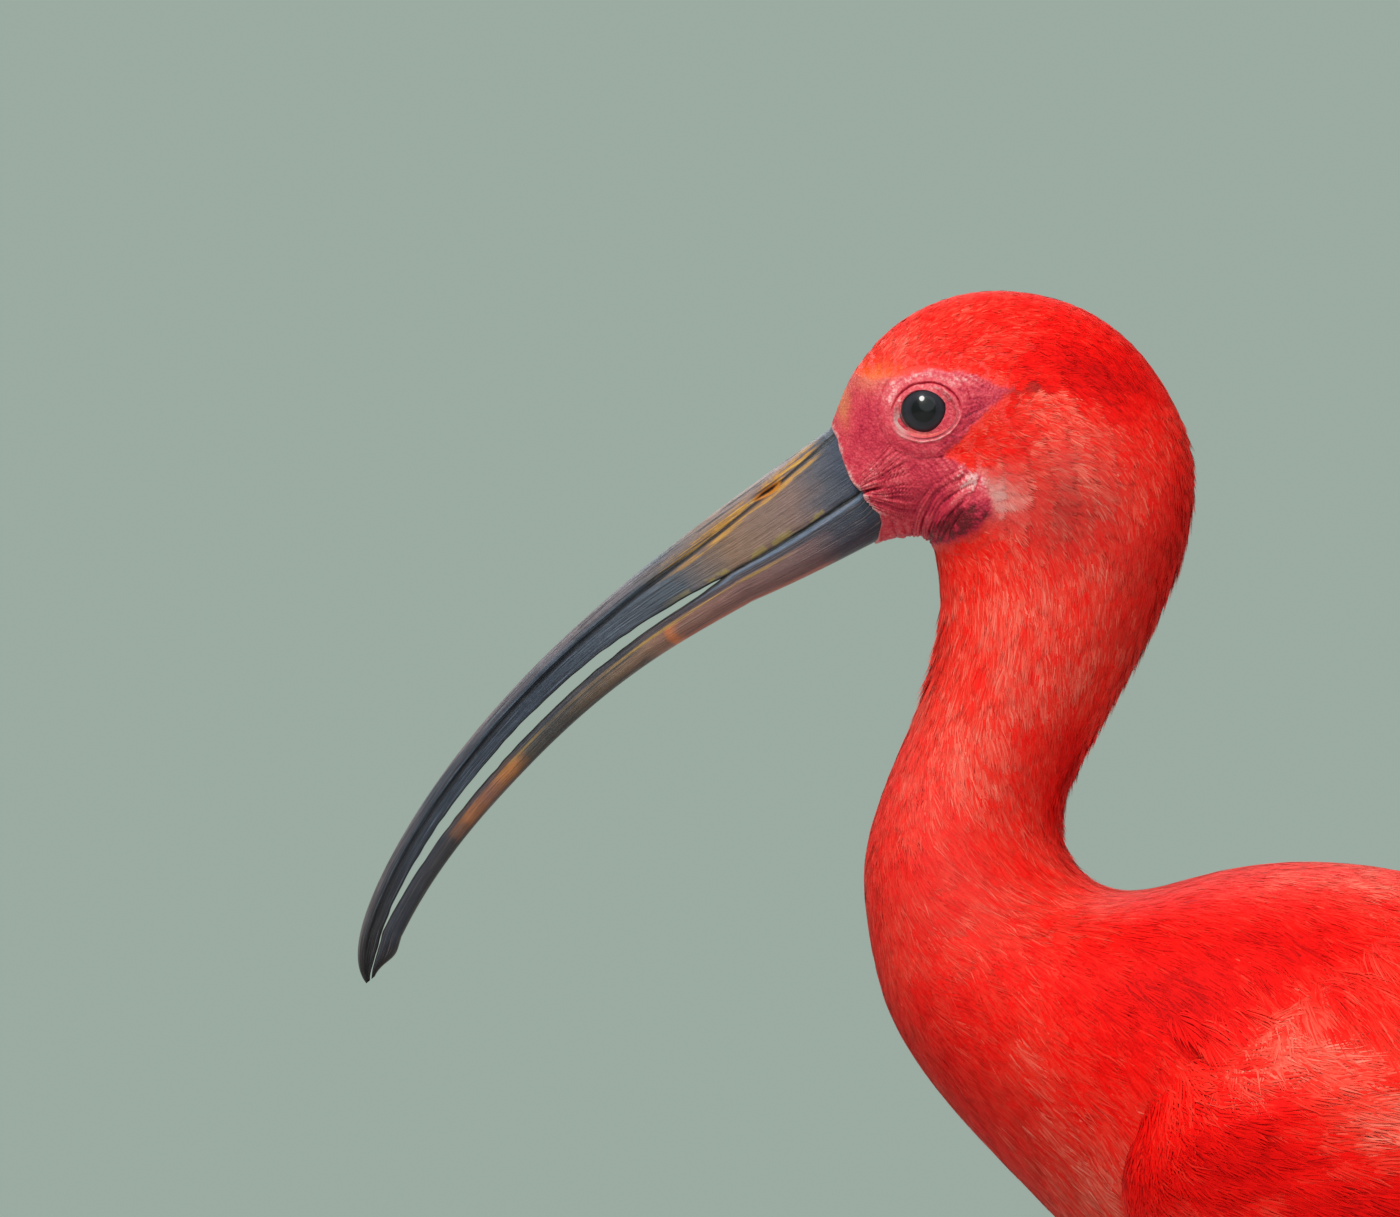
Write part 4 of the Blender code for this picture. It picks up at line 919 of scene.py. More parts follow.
def limb_point(side, share, turn, fore, sidewise, start, end, grow=0.0):
    """Points of a tapering limb between two joints; turn 0 is its front and 90 its outer side."""
    start, end = np.array(start), np.array(end)
    way = unit(end - start)
    lateral = unit(ACROSS - way * (ACROSS @ way))
    ahead = np.cross(lateral, way)
    c, s = cos_sin(turn)
    share, c, s = np.broadcast_arrays(share, c, s * side)
    middle = start + (end - start) * share[..., None]
    return middle + ahead * ((fore(share) + grow) * c)[..., None] + lateral * ((sidewise(share) + grow) * s)[..., None]


THIGH_MAPPED = 0.66  # the share of the upper leg that the skin covers
HIP, ANKLE = (14.0, 23.5, 172.0), (45.0, 24.0, 93.0)  # of the right leg
FOOT_X, FOOT_RISE, FOOT_STAGGER = 30.0, 3.0, 10.0  # the right foot stands further back by twice the last
LEG_TOP, ANKLE_ROUNDING = 0.56, 8  # where the bare leg's piece starts, and rings on either side that round the ankle
# Shares of the way from hip to ankle and from ankle to foot, with half the leg's depth and breadth there
LEG_PLACES = (0.0, 0.25, 0.42, 0.56, 0.64, 0.78, 0.9, 1.0)
LEG_FORE = spline(LEG_PLACES, (25.0, 20.0, 13.5, 8.6, 4.6, 3.9, 4.6, 6.0))
LEG_SIDE = spline(LEG_PLACES, (9.5, 10.0, 8.8, 6.8, 4.4, 3.6, 4.0, 5.2))
TARSUS_PLACES = (0.0, 0.08, 0.2, 0.5, 0.8, 0.93, 1.0)
TARSUS_FORE = spline(TARSUS_PLACES, (6.2, 5.2, 3.6, 3.1, 3.2, 4.2, 4.6))
TARSUS_SIDE = spline(TARSUS_PLACES, (5.2, 4.4, 3.1, 2.7, 2.9, 3.8, 4.4))
# Toes: length without the claw, degrees from straight ahead (positive to the midline), half width, joints
TOES = {
    "middle": (54.0, -6.0, 3.3, 3),
    "inner": (39.0, 26.0, 3.0, 2),
    "outer": (45.0, -42.0, 3.0, 3),
    "hind": (19.0, 172.0, 2.7, 1),
}
TOE_TAPER, JOINT_SWELL, TOE_HEIGHT, TOE_PLATE, CLAW_LENGTH = 0.38, 0.13, 1.75, 2.1, 9.0


def ankle_place(side):
    return np.array((ANKLE[0] + side * FOOT_STAGGER / 2, ANKLE[1] * side, ANKLE[2]))


def foot_place(side):
    return np.array((FOOT_X + side * FOOT_STAGGER, ANKLE[1] * side, 0.0))


def thigh_depth(share):
    """The depth of a thigh's plumage, in mm."""
    return np.interp(share, (0.0, 0.4, 0.56, 0.64), (1.6, 1.6, 1.9, 0.3))


def thigh_shape(side):
    hip = np.array(HIP) * (1, side, 1)

    def shape(share, turn):
        outer = limb_point(side, share, turn, LEG_FORE, LEG_SIDE, hip, ankle_place(side))
        inner = limb_point(side, share, turn, LEG_FORE, LEG_SIDE, hip, ankle_place(side), -1.0)
        return outer + (inner - outer) * thigh_depth(share)[..., None]

    return shape


def thigh_skin(side):
    share, turn = grid_of(np.linspace(0.0, THIGH_MAPPED, 16), np.arange(0, 360, 9.0))
    points = thigh_shape(side)(share, turn)
    faces = grid_faces(*share.shape, wrap=True)
    if side > 0:
        faces = faces[:, ::-1]
    row, column = np.divmod(faces, share.shape[1])
    last = (column == 0) & (faces.min(1, keepdims=True) % share.shape[1] == 0) & (column.max(1, keepdims=True) > 1)
    corners = unwrap_limb(side, share[row, column] / THIGH_MAPPED, np.where(last, 359.99, turn[row, column]))
    marks = {**plumage_marks(points), **{key: np.zeros(share.shape) for key in ("blush", "bare", "ash", "white")}}
    return points, faces, marks, corners


def lid_skin(side):
    """The lids as a piece of the skin, on a disc of their own on the baked map."""
    points, marks = lid_patch(side)
    rings, around = points.shape[:2]
    faces = grid_faces(rings, around, wrap=True)
    if side < 0:
        faces = faces[:, ::-1]
    reach, way = grid_of(np.linspace(0.25, 1, rings), np.arange(around) / around * 2 * np.pi)
    disc = np.stack((np.cos(way), np.sin(way)), -1) * reach[..., None]
    places = (LID_DISCS[side] + LID_DISC_RADIUS * disc).reshape(-1, 2)
    return points, faces, marks, places[faces]


def joined(parts):
    """Several (points, faces, attributes) as one; points and attributes may come as grids."""
    points, faces, total = [], [], 0
    for some, some_faces, _ in parts:
        points.append(some.reshape(-1, 3))
        faces.append(some_faces + total)
        total += len(points[-1])
    marks = {key: np.concatenate([part[2][key].ravel() for part in parts]) for key in parts[0][2]}
    return np.concatenate(points), np.concatenate(faces), marks


def make_skin():
    parts = [body_skin(), *(make(side) for make in (thigh_skin, lid_skin) for side in SIDES.values())]
    points, faces, marks = joined([part[:3] for part in parts])
    corners = np.concatenate([part[3].reshape(-1, 2) for part in parts])
    skin = new_piece("skin", points, faces, skin_finish(), marks, {"OFBake": corners})
    return settle(skin, "bare_skin", "head", "neck_upper", "neck_lower", "torso", "thigh_left", "thigh_right")


def barb_template(count):
    """Barbs of a small feather, in shares of its length and of half its breadth: start, middle and tip of each."""
    share = np.linspace(-1, 1, count)
    swing = np.radians(80.0) * share
    start = np.stack((0.06 + 0.40 * (1 - np.abs(share)), 0.03 * share), -1)
    tip = np.stack((0.40 + 0.60 * np.cos(swing) ** 0.7, np.sin(swing)), -1)
    middle = start * 0.46 + tip * 0.54 + np.stack((0.02 - 0.08 * np.abs(share), 0.15 * share), -1)
    return np.stack((start, middle, tip), 1)


BARB_SOCKETS = (
    ("Barbs", "Geometry", "INPUT"), ("Blade Width", "Float", "INPUT"), ("Material", "Material", "INPUT"),
    ("Blades", "Geometry", "OUTPUT"),
)  # fmt: skip


def fill_barbs(g, given, results):
    """On each point a barb's blade, from its start to its tip and widest at its middle."""
    start, middle, tip, spacing = (
        g.add("GeometryNodeInputNamedAttribute", {"Name": name}, data_type="FLOAT_VECTOR")
        for name in ("start", "middle", "tip", "spacing")
    )
    half = g.add("ShaderNodeVectorMath", {0: spacing, "Scale": given["Blade Width"]}, operation="SCALE")
    left = g.add("ShaderNodeVectorMath", {0: middle, 1: half}, operation="ADD")
    right = g.add("ShaderNodeVectorMath", {0: middle, 1: half}, operation="SUBTRACT")
    order = (start, left, right, tip)  # as the four corners of a grid's one face are numbered
    which = g.add("FunctionNodeIntegerMath", {0: g.add("GeometryNodeInputIndex"), 1: 4}, operation="MODULO")
    corner = g.tree.nodes.new("GeometryNodeIndexSwitch")
    corner.data_type = "VECTOR"
    while len(corner.index_switch_items) < len(order):
        corner.index_switch_items.new()
    for value, socket in zip((which, *order), corner.inputs):
        g.put(value, socket)
    blade = g.add("GeometryNodeMeshGrid", {"Vertices X": 2, "Vertices Y": 2})
    blades = g.add("GeometryNodeInstanceOnPoints", {"Points": given["Barbs"], "Instance": blade})
    blades = g.add("GeometryNodeRealizeInstances", {0: blades})
    blades = g.add("GeometryNodeSetPosition", {0: blades, "Position": Value(g, corner.outputs[0])})
    blades = g.add("GeometryNodeTriangulate", {0: blades}, quad_method="FIXED_ALTERNATE")
    blades = g.add("GeometryNodeSetShadeSmooth", {0: blades})
    blades = g.add("GeometryNodeSetMaterial", {0: blades, "Material": given["Material"]})
    g.put(blades, results["Blades"])


def grow_blades(name, barbs, material):
    """A plain mesh of barbs' blades. barbs gives vectors in mm for each barb, by the tree's names for them."""
    mesh = bpy.data.meshes.new(name + "_barbs")
    mesh.vertices.add(len(barbs["middle"]))
    for key, vectors in barbs.items():
        layer = mesh.attributes.new(key, "FLOAT_VECTOR", "POINT")
        layer.data.foreach_set("vector", (vectors * MM).astype(np.float32).ravel())
    piece = place_object(name, mesh)
    modifier = piece.modifiers.new("barbs", "NODES")
    modifier.node_group = node_group("feather_barbs", "GeometryNodeTree", BARB_SOCKETS, fill_barbs)
    values = {"Blade Width": BLADE_WIDTH, "Material": material}
    for socket in modifier.node_group.interface.items_tree:
        if socket.name in values:
            modifier[socket.identifier] = values[socket.name]
    grown = bpy.data.meshes.new_from_object(piece.evaluated_get(bpy.context.evaluated_depsgraph_get()))
    piece.modifiers.remove(modifier)
    piece.data = grown
    for key in barbs:
        grown.attributes.remove(grown.attributes[key])
    bpy.data.meshes.remove(mesh)
    grown.name = name
    return piece


BLADE_WIDTH = 0.66  # half a barb's blade, in shares of the space between two barbs
BLADE_SHARES = (0.0, 0.55, 0.55, 1.0)  # how far along its barb each corner of a blade is
TIP_DROOP = 0.3  # how far a small feather's tip falls back to the surface, in shares of its height
BARB_JITTER = ((0, 0), (0.02, 0.04), (0.05, 0.09))  # of a barb's start, middle and tip, in shares of the feather


def small_feathers(surface, roots, heading, length, breadth, depth, barbs, rng, sink=0.2, stand=None):
    """The barbs of many small feathers, the share of the length at each corner of their blades, which feather it is
    of, and where on the feather.

    heading is in degrees from the surface's first direction towards its second, depth the height of the tips.
    """
    a, b = roots
    count = len(a)
    # Start, middle and tip of every barb, along and across its feather in mm
    template = barb_template(barbs)[None] + rng.normal(0, 1, (count, barbs, 3, 2)) * np.array(BARB_JITTER)
    share = template[..., 0]
    x = share * length[:, None, None]
    y = template[..., 1] * breadth[:, None, None] / 2
    _, normal, along, around = surface.at(a, b)
    ahead = unit(along)
    beside = unit(np.cross(normal, ahead))
    beside = beside * np.sign((beside * around).sum(-1, keepdims=True))
    c, s = cos_sin(heading[:, None])
    way = ahead * c + beside * s
    # From mm along and across the feather to steps of the surface's two numbers
    rates = np.stack((along, around), -1)
    gram = np.linalg.inv(np.einsum("nij,nik->njk", rates, rates))
    way_steps, over_steps = (
        np.einsum("njk,nik,ni->nj", gram, rates, axis)[:, None, None] for axis in (way, np.cross(normal, way))
    )
    steps = x[..., None] * way_steps + y[..., None] * over_steps
    at, up, _, _ = surface.at(a[:, None, None] + steps[..., 0], b[:, None, None] + steps[..., 1])
    tip_height = depth * rng.uniform(0.8, 1.08, count)
    roll = rng.normal(0, 0.025, count)[:, None, None] * y
    rise = np.clip(share, 0, 1.1) ** 0.8 * (1 - TIP_DROOP * smooth(share, 0.5, 1.0))
    sink = np.broadcast_to(sink, count)[:, None, None]
    height = -sink + (tip_height[:, None, None] + sink) * rise + roll
    height = height + rng.normal(0, 0.022, (count, barbs, 1))
    if stand is not None:
        height = height + stand[:, None, None] * np.clip(share, 0, 1.2) ** 2.2
    at = at + up * height[..., None]
    start, middle, tip = np.moveaxis(at, 2, 0)
    spacing = unit(np.cross(up[..., 1, :], tip - start)) * (breadth / barbs)[:, None, None]
    vectors = {"start": start, "middle": middle, "tip": tip, "spacing": spacing}
    vectors = {key: values.reshape(-1, 3) for key, values in vectors.items()}
    shares = np.broadcast_to(np.array(BLADE_SHARES), (count * barbs, 4)).ravel()
    spots = np.stack((share[..., (0, 1, 1, 2)], template[..., (0, 1, 1, 2), 1]), -1)
    owner = np.repeat(np.arange(count), barbs * 4)
    return vectors, shares, owner, spots.reshape(-1, 2)


def coat_piece(name, surface, roots, places, marks, rng, material, streak=0.07, **shape):
    """One piece of coat: places are its roots on the baked map, marks its feathers' colours, and streak how much
    its barbs vary."""
    barbs, shares, owner, spots = small_feathers(surface, roots, rng=rng, **shape)
    tone = marks["tone"] + rng.normal(0, 0.045, len(marks["tone"]))
    barb = np.repeat(rng.normal(0, streak, len(shares) // 4), 4)
    barb = np.where(barb > 0, 0.7 * barb, barb)
    # each barb is painted darker towards its root, as painted shade under the feathers over it, and paler at its tip,
    # as painted highlight
    attributes = {
        "tone": tone[owner] + barb - 0.05 * (1 - shares) + 0.05 * shares**3,
        **{key: marks[key][owner] for key in ("amber", "shade", "dust", "ink")},
    }
    maps = {"OFBake": places[owner] + (spots - (0.5, 0.0)) * (0.003, 0.0015)}
    piece = grow_blades(name, barbs, material)
    mark(piece.data, attributes, maps)
    return settle(piece, "red_plumage")


EVEN_RATIO = 1.2207440846057596  # its powers fill three measures evenly


def even(spacing):
    """The same spacing everywhere."""
    return lambda a, b: spacing


def spread_roots(surface, a_range, b_range, spacing_at, rng):
    """Places spread evenly over part of a surface, about spacing_at(a, b) mm apart, and shaken a little."""
    a_low, a_high = a_range
    b_low, b_high = b_range
    grid = grid_of(np.linspace(a_low, a_high, 60), np.linspace(b_low, b_high, 60))
    _, _, along, around = surface.at(*grid)
    density = np.linalg.norm(np.cross(along, around), axis=-1) / spacing_at(*grid) ** 2
    most = density.max()
    count = int(most * (a_high - a_low) * (b_high - b_low))
    steps = 1 / EVEN_RATIO ** np.array((1, 2, 3))
    spots = np.mod(0.5 + np.arange(count)[:, None] * steps, 1.0)
    a = a_low + (a_high - a_low) * spots[:, 0]
    b = b_low + (b_high - b_low) * spots[:, 1]
    _, _, along, around = surface.at(a, b)
    here = np.linalg.norm(np.cross(along, around), axis=-1) / spacing_at(a, b) ** 2
    keep = spots[:, 2] < here / most
    a, b, along, around = a[keep], b[keep], along[keep], around[keep]
    shake = spacing_at(a, b) * 0.42
    a = a + rng.uniform(-1, 1, len(a)) * shake / np.maximum(np.linalg.norm(along, axis=-1), 0.05)
    b = b + rng.uniform(-1, 1, len(b)) * shake / np.maximum(np.linalg.norm(around, axis=-1), 0.05)
    return np.clip(a, a_low, a_high), b


# How the body's feathers run along it, by station
COAT_AT = (0.0, 2.0, 4.0, 6.0, 8.0, 10.0, 12.0, 13.5, 15.0, 17.0, 19.0)
SPACING = (1.0, 1.1, 1.2, 1.45, 1.6, 1.75, 2.0, 2.2, 2.6, 3.0, 3.0)
LENGTH = (3.0, 4.6, 5.8, 7.6, 9.0, 9.8, 11.0, 12.5, 14.0, 16.0, 17.0)
BREADTH = (1.7, 2.3, 2.8, 3.6, 4.1, 4.6, 5.8, 7.0, 8.0, 8.5, 8.5)
LIE_AT = (0.0, 3.0, 4.5, 6.0, 7.5, 9.0, 10.5, 12.0, 13.5, 16.0, 19.0)
# Degrees from straight back towards the belly, on the back, the side and the belly
LIES = (
    (0, 0, 0), (0, -15, 0), (0, -35, 0), (0, -30, 0), (-6, -42, 0), (-6, -32, 0),
    (0, -12, 0), (0, 10, 0), (0, 20, 0), (0, 12, 0), (0, 8, 0),
)  # fmt: skip
# The body's coat: each piece's first and last station, the barbs of a feather, and how its barbs vary
TRACTS = (
    ("coat_head", 0.0, 6.0, 11, 0.10),
    ("coat_neck", 6.0, 10.2, 15, 0.08),
    ("coat_breast", 10.2, 12.8, 19, 0.08),
    ("coat_shoulder", 12.8, 15.0, 19, 0.09),
    ("coat_rear", 15.0, 19.3, 17, 0.08),
)


def lie_of(u, turn):
    """The heading of the feathers, in degrees from straight back towards the back (turn 0) or the belly."""
    lies = np.array(LIES, float)
    back, side, belly = (np.interp(u, LIE_AT, lies[:, k]) for k in range(3))
    up = upright(turn) / 90.0
    lie = np.where(up < 1, back + (side - back) * smooth(up, 0, 1), side + (belly - side) * smooth(up - 1, 0, 1))
    return lie * np.where(np.mod(turn, 360.0) < 180.0, 1.0, -1.0)


def under_wing(u, turn):
    """True where a folded wing hides the body."""
    inside = (upright(turn) > wing_upper(u) + 9) & (upright(turn) < wing_lower(u) - 9)
    return inside & (np.asarray(u) > 14.4)


def make_body_coat():
    material = plumage_finish("body_plumage")
    surface = Surface(skin_point, (0.0, 19.6), (-10.0, 370.0), (491, 571))
    looser = 0.93
    for number, (name, first, last, barbs, streak) in enumerate(TRACTS):
        rng = np.random.default_rng(40 + number)

        def spacing_at(a, b):
            point = surface.at(a, b)[0]
            ease = smooth(-bare_depth(point), 0.0, 5.0) if last <= NECK_STATION else 1.0
            return np.interp(a, COAT_AT, SPACING) * (0.8 + 0.2 * ease) * looser

        u, turn = spread_roots(surface, (first, last), (0.0, 360.0), spacing_at, rng)
        turn = np.mod(turn, 360.0)
        point = surface.at(u, turn)[0]
        away = -bare_depth(point) if last <= NECK_STATION else np.full(len(u), FAR_FROM_FACE)
        keep = (away > -0.15) & ~under_wing(u, turn)
        u, turn, point, away = u[keep], turn[keep], point[keep], away[keep]
        ease = 0.5 + 0.5 * smooth(away, 0.0, 6.0)
        length = np.interp(u, COAT_AT, LENGTH) * ease * rng.uniform(0.85, 1.15, len(u))
        breadth = np.interp(u, COAT_AT, BREADTH) * (0.6 + 0.4 * ease) * rng.uniform(0.85, 1.15, len(u))
        heading = lie_of(u, turn) + rng.normal(0, 7.0, len(u)) + 12.0 * noise(point, 14.0, 51)
        depth = np.interp(u, COAT_STATIONS, COAT_DEPTHS) * (0.35 + 0.65 * smooth(away, 0.0, 5.0))
        # The nape's and the throat's feathers stand off
        stand = 1.1 * rise_fall(u, 4.8, 5.6, 9.0, 10.5) * fall_off(upright(turn), 18, 40)
        stand += 1.5 * rise_fall(u, 4.2, 5.0, 6.2, 7.2) * smooth(upright(turn), 150, 172)
        coat_piece(
            name, surface, (u, turn), unwrap_body(u, turn), plumage_marks(point), rng, material, streak,
            heading=heading, length=length, breadth=breadth, depth=depth, barbs=barbs,
            stand=stand * rng.uniform(0, 1, len(u)),
        )  # fmt: skip


def make_thigh_coats():
    material = plumage_finish("thigh_plumage")
    for word, side in SIDES.items():
        rng = np.random.default_rng(61 + side)
        surface = Surface(thigh_shape(side), (0.0, 0.75), (-20.0, 380.0), (76, 101), -side)
        spacing = 2.2
        share, turn = spread_roots(surface, (0.02, 0.585), (0.0, 360.0), even(spacing), rng)
        turn = np.mod(turn, 360.0)
        point = surface.at(share, turn)[0]
        coat_piece(
            f"coat_thigh_{word}", surface, (share, turn), unwrap_limb(side, share / THIGH_MAPPED, turn),
            plumage_marks(point), rng, material, heading=rng.normal(0, 8.0, len(share)),
            length=np.interp(share, (0, 0.5, 0.6), (13.0, 9.0, 6.0)), breadth=np.interp(share, (0, 0.6), (6.5, 3.2)),
            depth=thigh_depth(share), barbs=13,
        )  # fmt: skip


# A folded wing, by stations of the body: degrees from the back to its upper and lower edges
WING_STATIONS = (13.75, 14.0, 14.5, 15.0, 16.0, 17.0, 18.0, 19.0, 20.0, 22.0)
wing_upper = spline(WING_STATIONS, (88.0, 66.0, 43.0, 28.0, 13.0, 9.0, 10.0, 14.0, 23.0, 44.0))
wing_lower = spline(WING_STATIONS, (114.0, 134.0, 144.0, 141.0, 134.0, 130.0, 128.0, 122.0, 112.0, 92.0))
WING_LIFT, WING_EDGE, WING_THICKNESS = 1.2, 0.7, 5.0  # a wing's gap to the trunk, its edge's depth, and more within
FLANK_STATION = np.linspace(WING_STATIONS[0], WING_STATIONS[-1], 166)
FLANK_LENGTH = path_length(body_point(FLANK_STATION, np.full_like(FLANK_STATION, 90.0)))
LEAST_TURN = 2.0  # how close to the middle of the back a wing's places come, in degrees


def wing_place(s, b):
    """Station and turn of the place s mm behind a folded wing's front and b of the way down it."""
    u = np.interp(s, FLANK_LENGTH, FLANK_STATION)
    u = np.where(s < 0, FLANK_STATION[0] + s * (FLANK_STATION[1] - FLANK_STATION[0]) / FLANK_LENGTH[1], u)
    edge = np.clip(u, WING_STATIONS[0], None)
    return u, wing_upper(edge) + (wing_lower(edge) - wing_upper(edge)) * b


def wing_depth(s, b):
    """How far a wing's outer face stands off the trunk, in mm."""
    front = np.clip(0.25 + s / (56 - 40 * smooth(b, 0.2, 0.6)), 0.0, 1.0)
    back = 1.0 - 0.72 * np.clip((s - 50) / 150, 0.0, 1.0)
    swell = np.where(b < 0.5, smooth(b, -0.06, 0.5), np.sin(np.pi * np.clip(b, 0.5, 1.0)) ** 0.6)
    return WING_LIFT + WING_EDGE + WING_THICKNESS * front * back * swell


def wing_at(s, b, lift, side):
    """Points lift mm off the trunk at a place of a wing, and the normals there."""
    u, turn = wing_place(s, b)
    turn = np.maximum(turn, LEAST_TURN)
    normal = body_normal(u, turn)
    return (body_point(u, turn) + normal * lift[..., None]) * (1, side, 1), normal * (1, side, 1)


def wing_shape(side):
    def shape(s, b):
        ease = smooth(s, -4.0, 7.0) * smooth(b, -0.04, 0.14) * fall_off(b, 0.97, 1.08)
        return wing_at(s, b, (wing_depth(s, b) - 0.9) * ease - 1.2 * (1 - ease), side)[0]

    return shape


def cape_height(u, turn):
    """How far behind a folded wing's front a place of the trunk is and how far down it, and how high the long
    feathers of the back ride there, all in mm but the second."""
    edge = np.clip(u, WING_STATIONS[0], None)
    b = (turn - wing_upper(edge)) / (wing_lower(edge) - wing_upper(edge))
    s = np.interp(u, FLANK_STATION, FLANK_LENGTH) - 9.0 * np.clip(FLANK_STATION[0] - u, 0, None)
    over = wing_depth(s, b) + 0.45 - 0.9 * smooth(b, 0.12, 0.34)
    return s, b, 0.1 + over * smooth(b, -0.45, 0.08) * smooth(s, -11.0, 11.0)


def cape_shape(side):
    """The surface over which the back's long feathers run down on to a folded wing."""

    def shape(u, turn):
        lift = cape_height(u, turn)[2]
        return (body_point(u, turn) + body_normal(u, turn) * lift[..., None]) * (1, side, 1)

    return shape


FEATHER_STEP = 0.85  # mm between feathers that lie over one another
BARB_PITCH = 0.62  # mm between the barbs of a long feather


def vane_width(share):
    """A flight feather's width along its length, from a narrow base to a rounded tip."""
    return np.interp(share, (0.0, 0.12, 0.3, 0.75, 0.9, 0.97, 1.0), (0.3, 0.7, 0.95, 1.0, 0.8, 0.5, 0.2))


def vane(place, length, half, rng):
    """A long feather from its barbs and its shaft: points, faces, share of the length, and share across.

    place(share, across, height) gives points, where across is in mm and height in mm off the feather's layer.
    """
    count, pitch = max(int(length / BARB_PITCH), 8), BARB_PITCH / length
    root = np.linspace(0.02, 0.985, count)[:, None]
    sweep = 1.15 * half / length * np.array((0.0, 0.42, 1.0))
    width = BLADE_WIDTH * pitch * np.array((1, 1, 0.75))
    points, faces, shares, acrosses, total = [], [], [], [], 0
    for hand in (-1, 1):
        jitter = rng.normal(0, 0.25, count) * pitch
        rng.random(count)  # a draw that nothing uses, which keeps the later ones as they are
        x = root + sweep + jitter[:, None] * np.array((0, 0.3, 1.0))
        x = np.clip(np.stack((x - width, x + width), -1), 0, 1.012)  # barbs, places along each, and its two edges
        y = (np.array((0.0, 0.52, 1.0)) * hand)[:, None] * np.ones_like(x)
        lift = rng.normal(0, 0.035, (count, 1, 1)) + 0.08 - 0.30 * y**2
        lift[..., 1] += 0.05
        points.append(place(x, y * half * vane_width(x), lift).reshape(-1, 3))
        first = total + 6 * np.arange(count)[:, None]
        quads = np.concatenate((first + (0, 1, 3, 2), first + (2, 3, 5, 4)))
        faces.append(quads if hand < 0 else quads[:, ::-1])
        shares.append(x.ravel())
        acrosses.append(y.ravel())
        total += count * 6
    steps = np.linspace(0, 0.985, count // 2)
    thick = np.interp(steps, (0, 0.5, 1), (0.42, 0.26, 0.08))[:, None]
    shaft = place(steps[:, None] * np.ones(3), thick * (-1, 0, 1), 0.1 + thick * (0.0, 0.7, 0.0))
    points.append(shaft.reshape(-1, 3))
    faces.append(grid_faces(len(steps), 3, first=total))
    shares.append(np.repeat(steps, 3))
    acrosses.append(np.zeros(len(steps) * 3))
    return tuple(np.concatenate(parts) for parts in (points, faces, shares, acrosses))


def vanes_piece(name, feathers, material, ink_from=None):
    """One piece from several long feathers, given as (vane result, place on the baked map)."""
    parts, places = [], []
    for number, ((points, faces, share, across), spot) in enumerate(feathers):
        off = np.abs(across)
        fine = 0.05 * sheet_noise(share * 60, across, 1.0, number)
        shift = np.random.default_rng(900 + number).normal(0, 0.03)
        # darker towards the feather's root, as painted shade where it lies under the others
        tone = plumage_marks(points)["tone"] + shift - 0.10 * (1 - share) + 0.05 * off**3 + fine
        ink = 0 * share
        if ink_from is not None:
            ink = smooth(share + 0.03 * fine - 0.02 * off, ink_from - 0.02, ink_from + 0.02)
        parts.append((points, faces, {"tone": tone, "ink": ink, "amber": 0 * share}))
        places.append(np.array(spot) + np.stack((share - 0.5, across / 2), -1) * 0.003)
    points, faces, marks = joined(parts)
    return settle(new_piece(name, points, faces, material, marks, {"OFBake": np.concatenate(places)}), "red_plumage")


def wing_vane(side, root, places, length, half, lift_at, rng):
    """A feather along a folded wing; lift_at gives its height off the trunk."""
    first, last = places

    def place(share, out, height):
        s = root + length * share
        b = first + (last - first) * share
        u, turn = wing_place(s, b)
        per_degree = np.linalg.norm(body_point(u, turn + 0.5) - body_point(u, turn - 0.5), axis=-1)
        edge = np.clip(u, WING_STATIONS[0], None)
        b = b + out / per_degree / (wing_lower(edge) - wing_upper(edge))
        lift = lift_at(share, s, b) + FEATHER_STEP * out / max(half, 1) * 0.35 + height
        return wing_at(s, b, lift, side)[0]

    return vane(place, length, half, rng)


PRIMARY_ROOT, PRIMARY_TIP, PRIMARY_STEP, PRIMARY_COUNT, PRIMARY_HALF_WIDTH = 132.0, 243.0, 10.0, 5, 7.5
# A wing's small coverts: their piece, mm behind its front to the first and last, spacing in mm, and barbs of a feather
COVERTS = (("front", -4.5, 24.0, 2.0, 17), ("middle", 20.0, 62.0, 2.6, 21))
# Rows of a wing's long feathers: mm behind its front, first and last place down it, how many, lengths of the first
# and last, half width, how far the roots are sunk, and how far the tips lift
WING_ROWS = (
    (34.0, 0.12, 0.93, 13, 33.0, 28.0, 5.2, 1.0, 1.2),  # median coverts
    (56.0, 0.12, 0.95, 13, 42.0, 36.0, 6.4, 1.2, 1.3),  # greater coverts
    (84.0, 0.06, 0.9, 10, 104.0, 84.0, 9.4, 1.2, 1.6),  # secondaries
    (56.0, 0.0, 0.22, 6, 50.0, 44.0, 7.0, 1.0, 1.9),  # long scapulars
)


def make_wing_skin(word, side, plumage):
    """The wing's own form, which shows between its feathers."""
    s, b = grid_of(np.linspace(-5.5, 152.0, 130), np.linspace(-0.09, 1.09, 60))
    points = wing_shape(side)(s, b).reshape(-1, 3)
    faces = grid_faces(*s.shape)
    maps = {"OFBake": unwrap_wing(s, b).reshape(-1, 2)}
    piece = new_piece(
        f"wing_{word}_skin", points, faces if side > 0 else faces[:, ::-1], plumage, plumage_marks(points), maps
    )
    settle(piece, "red_plumage", f"wing_{word}")


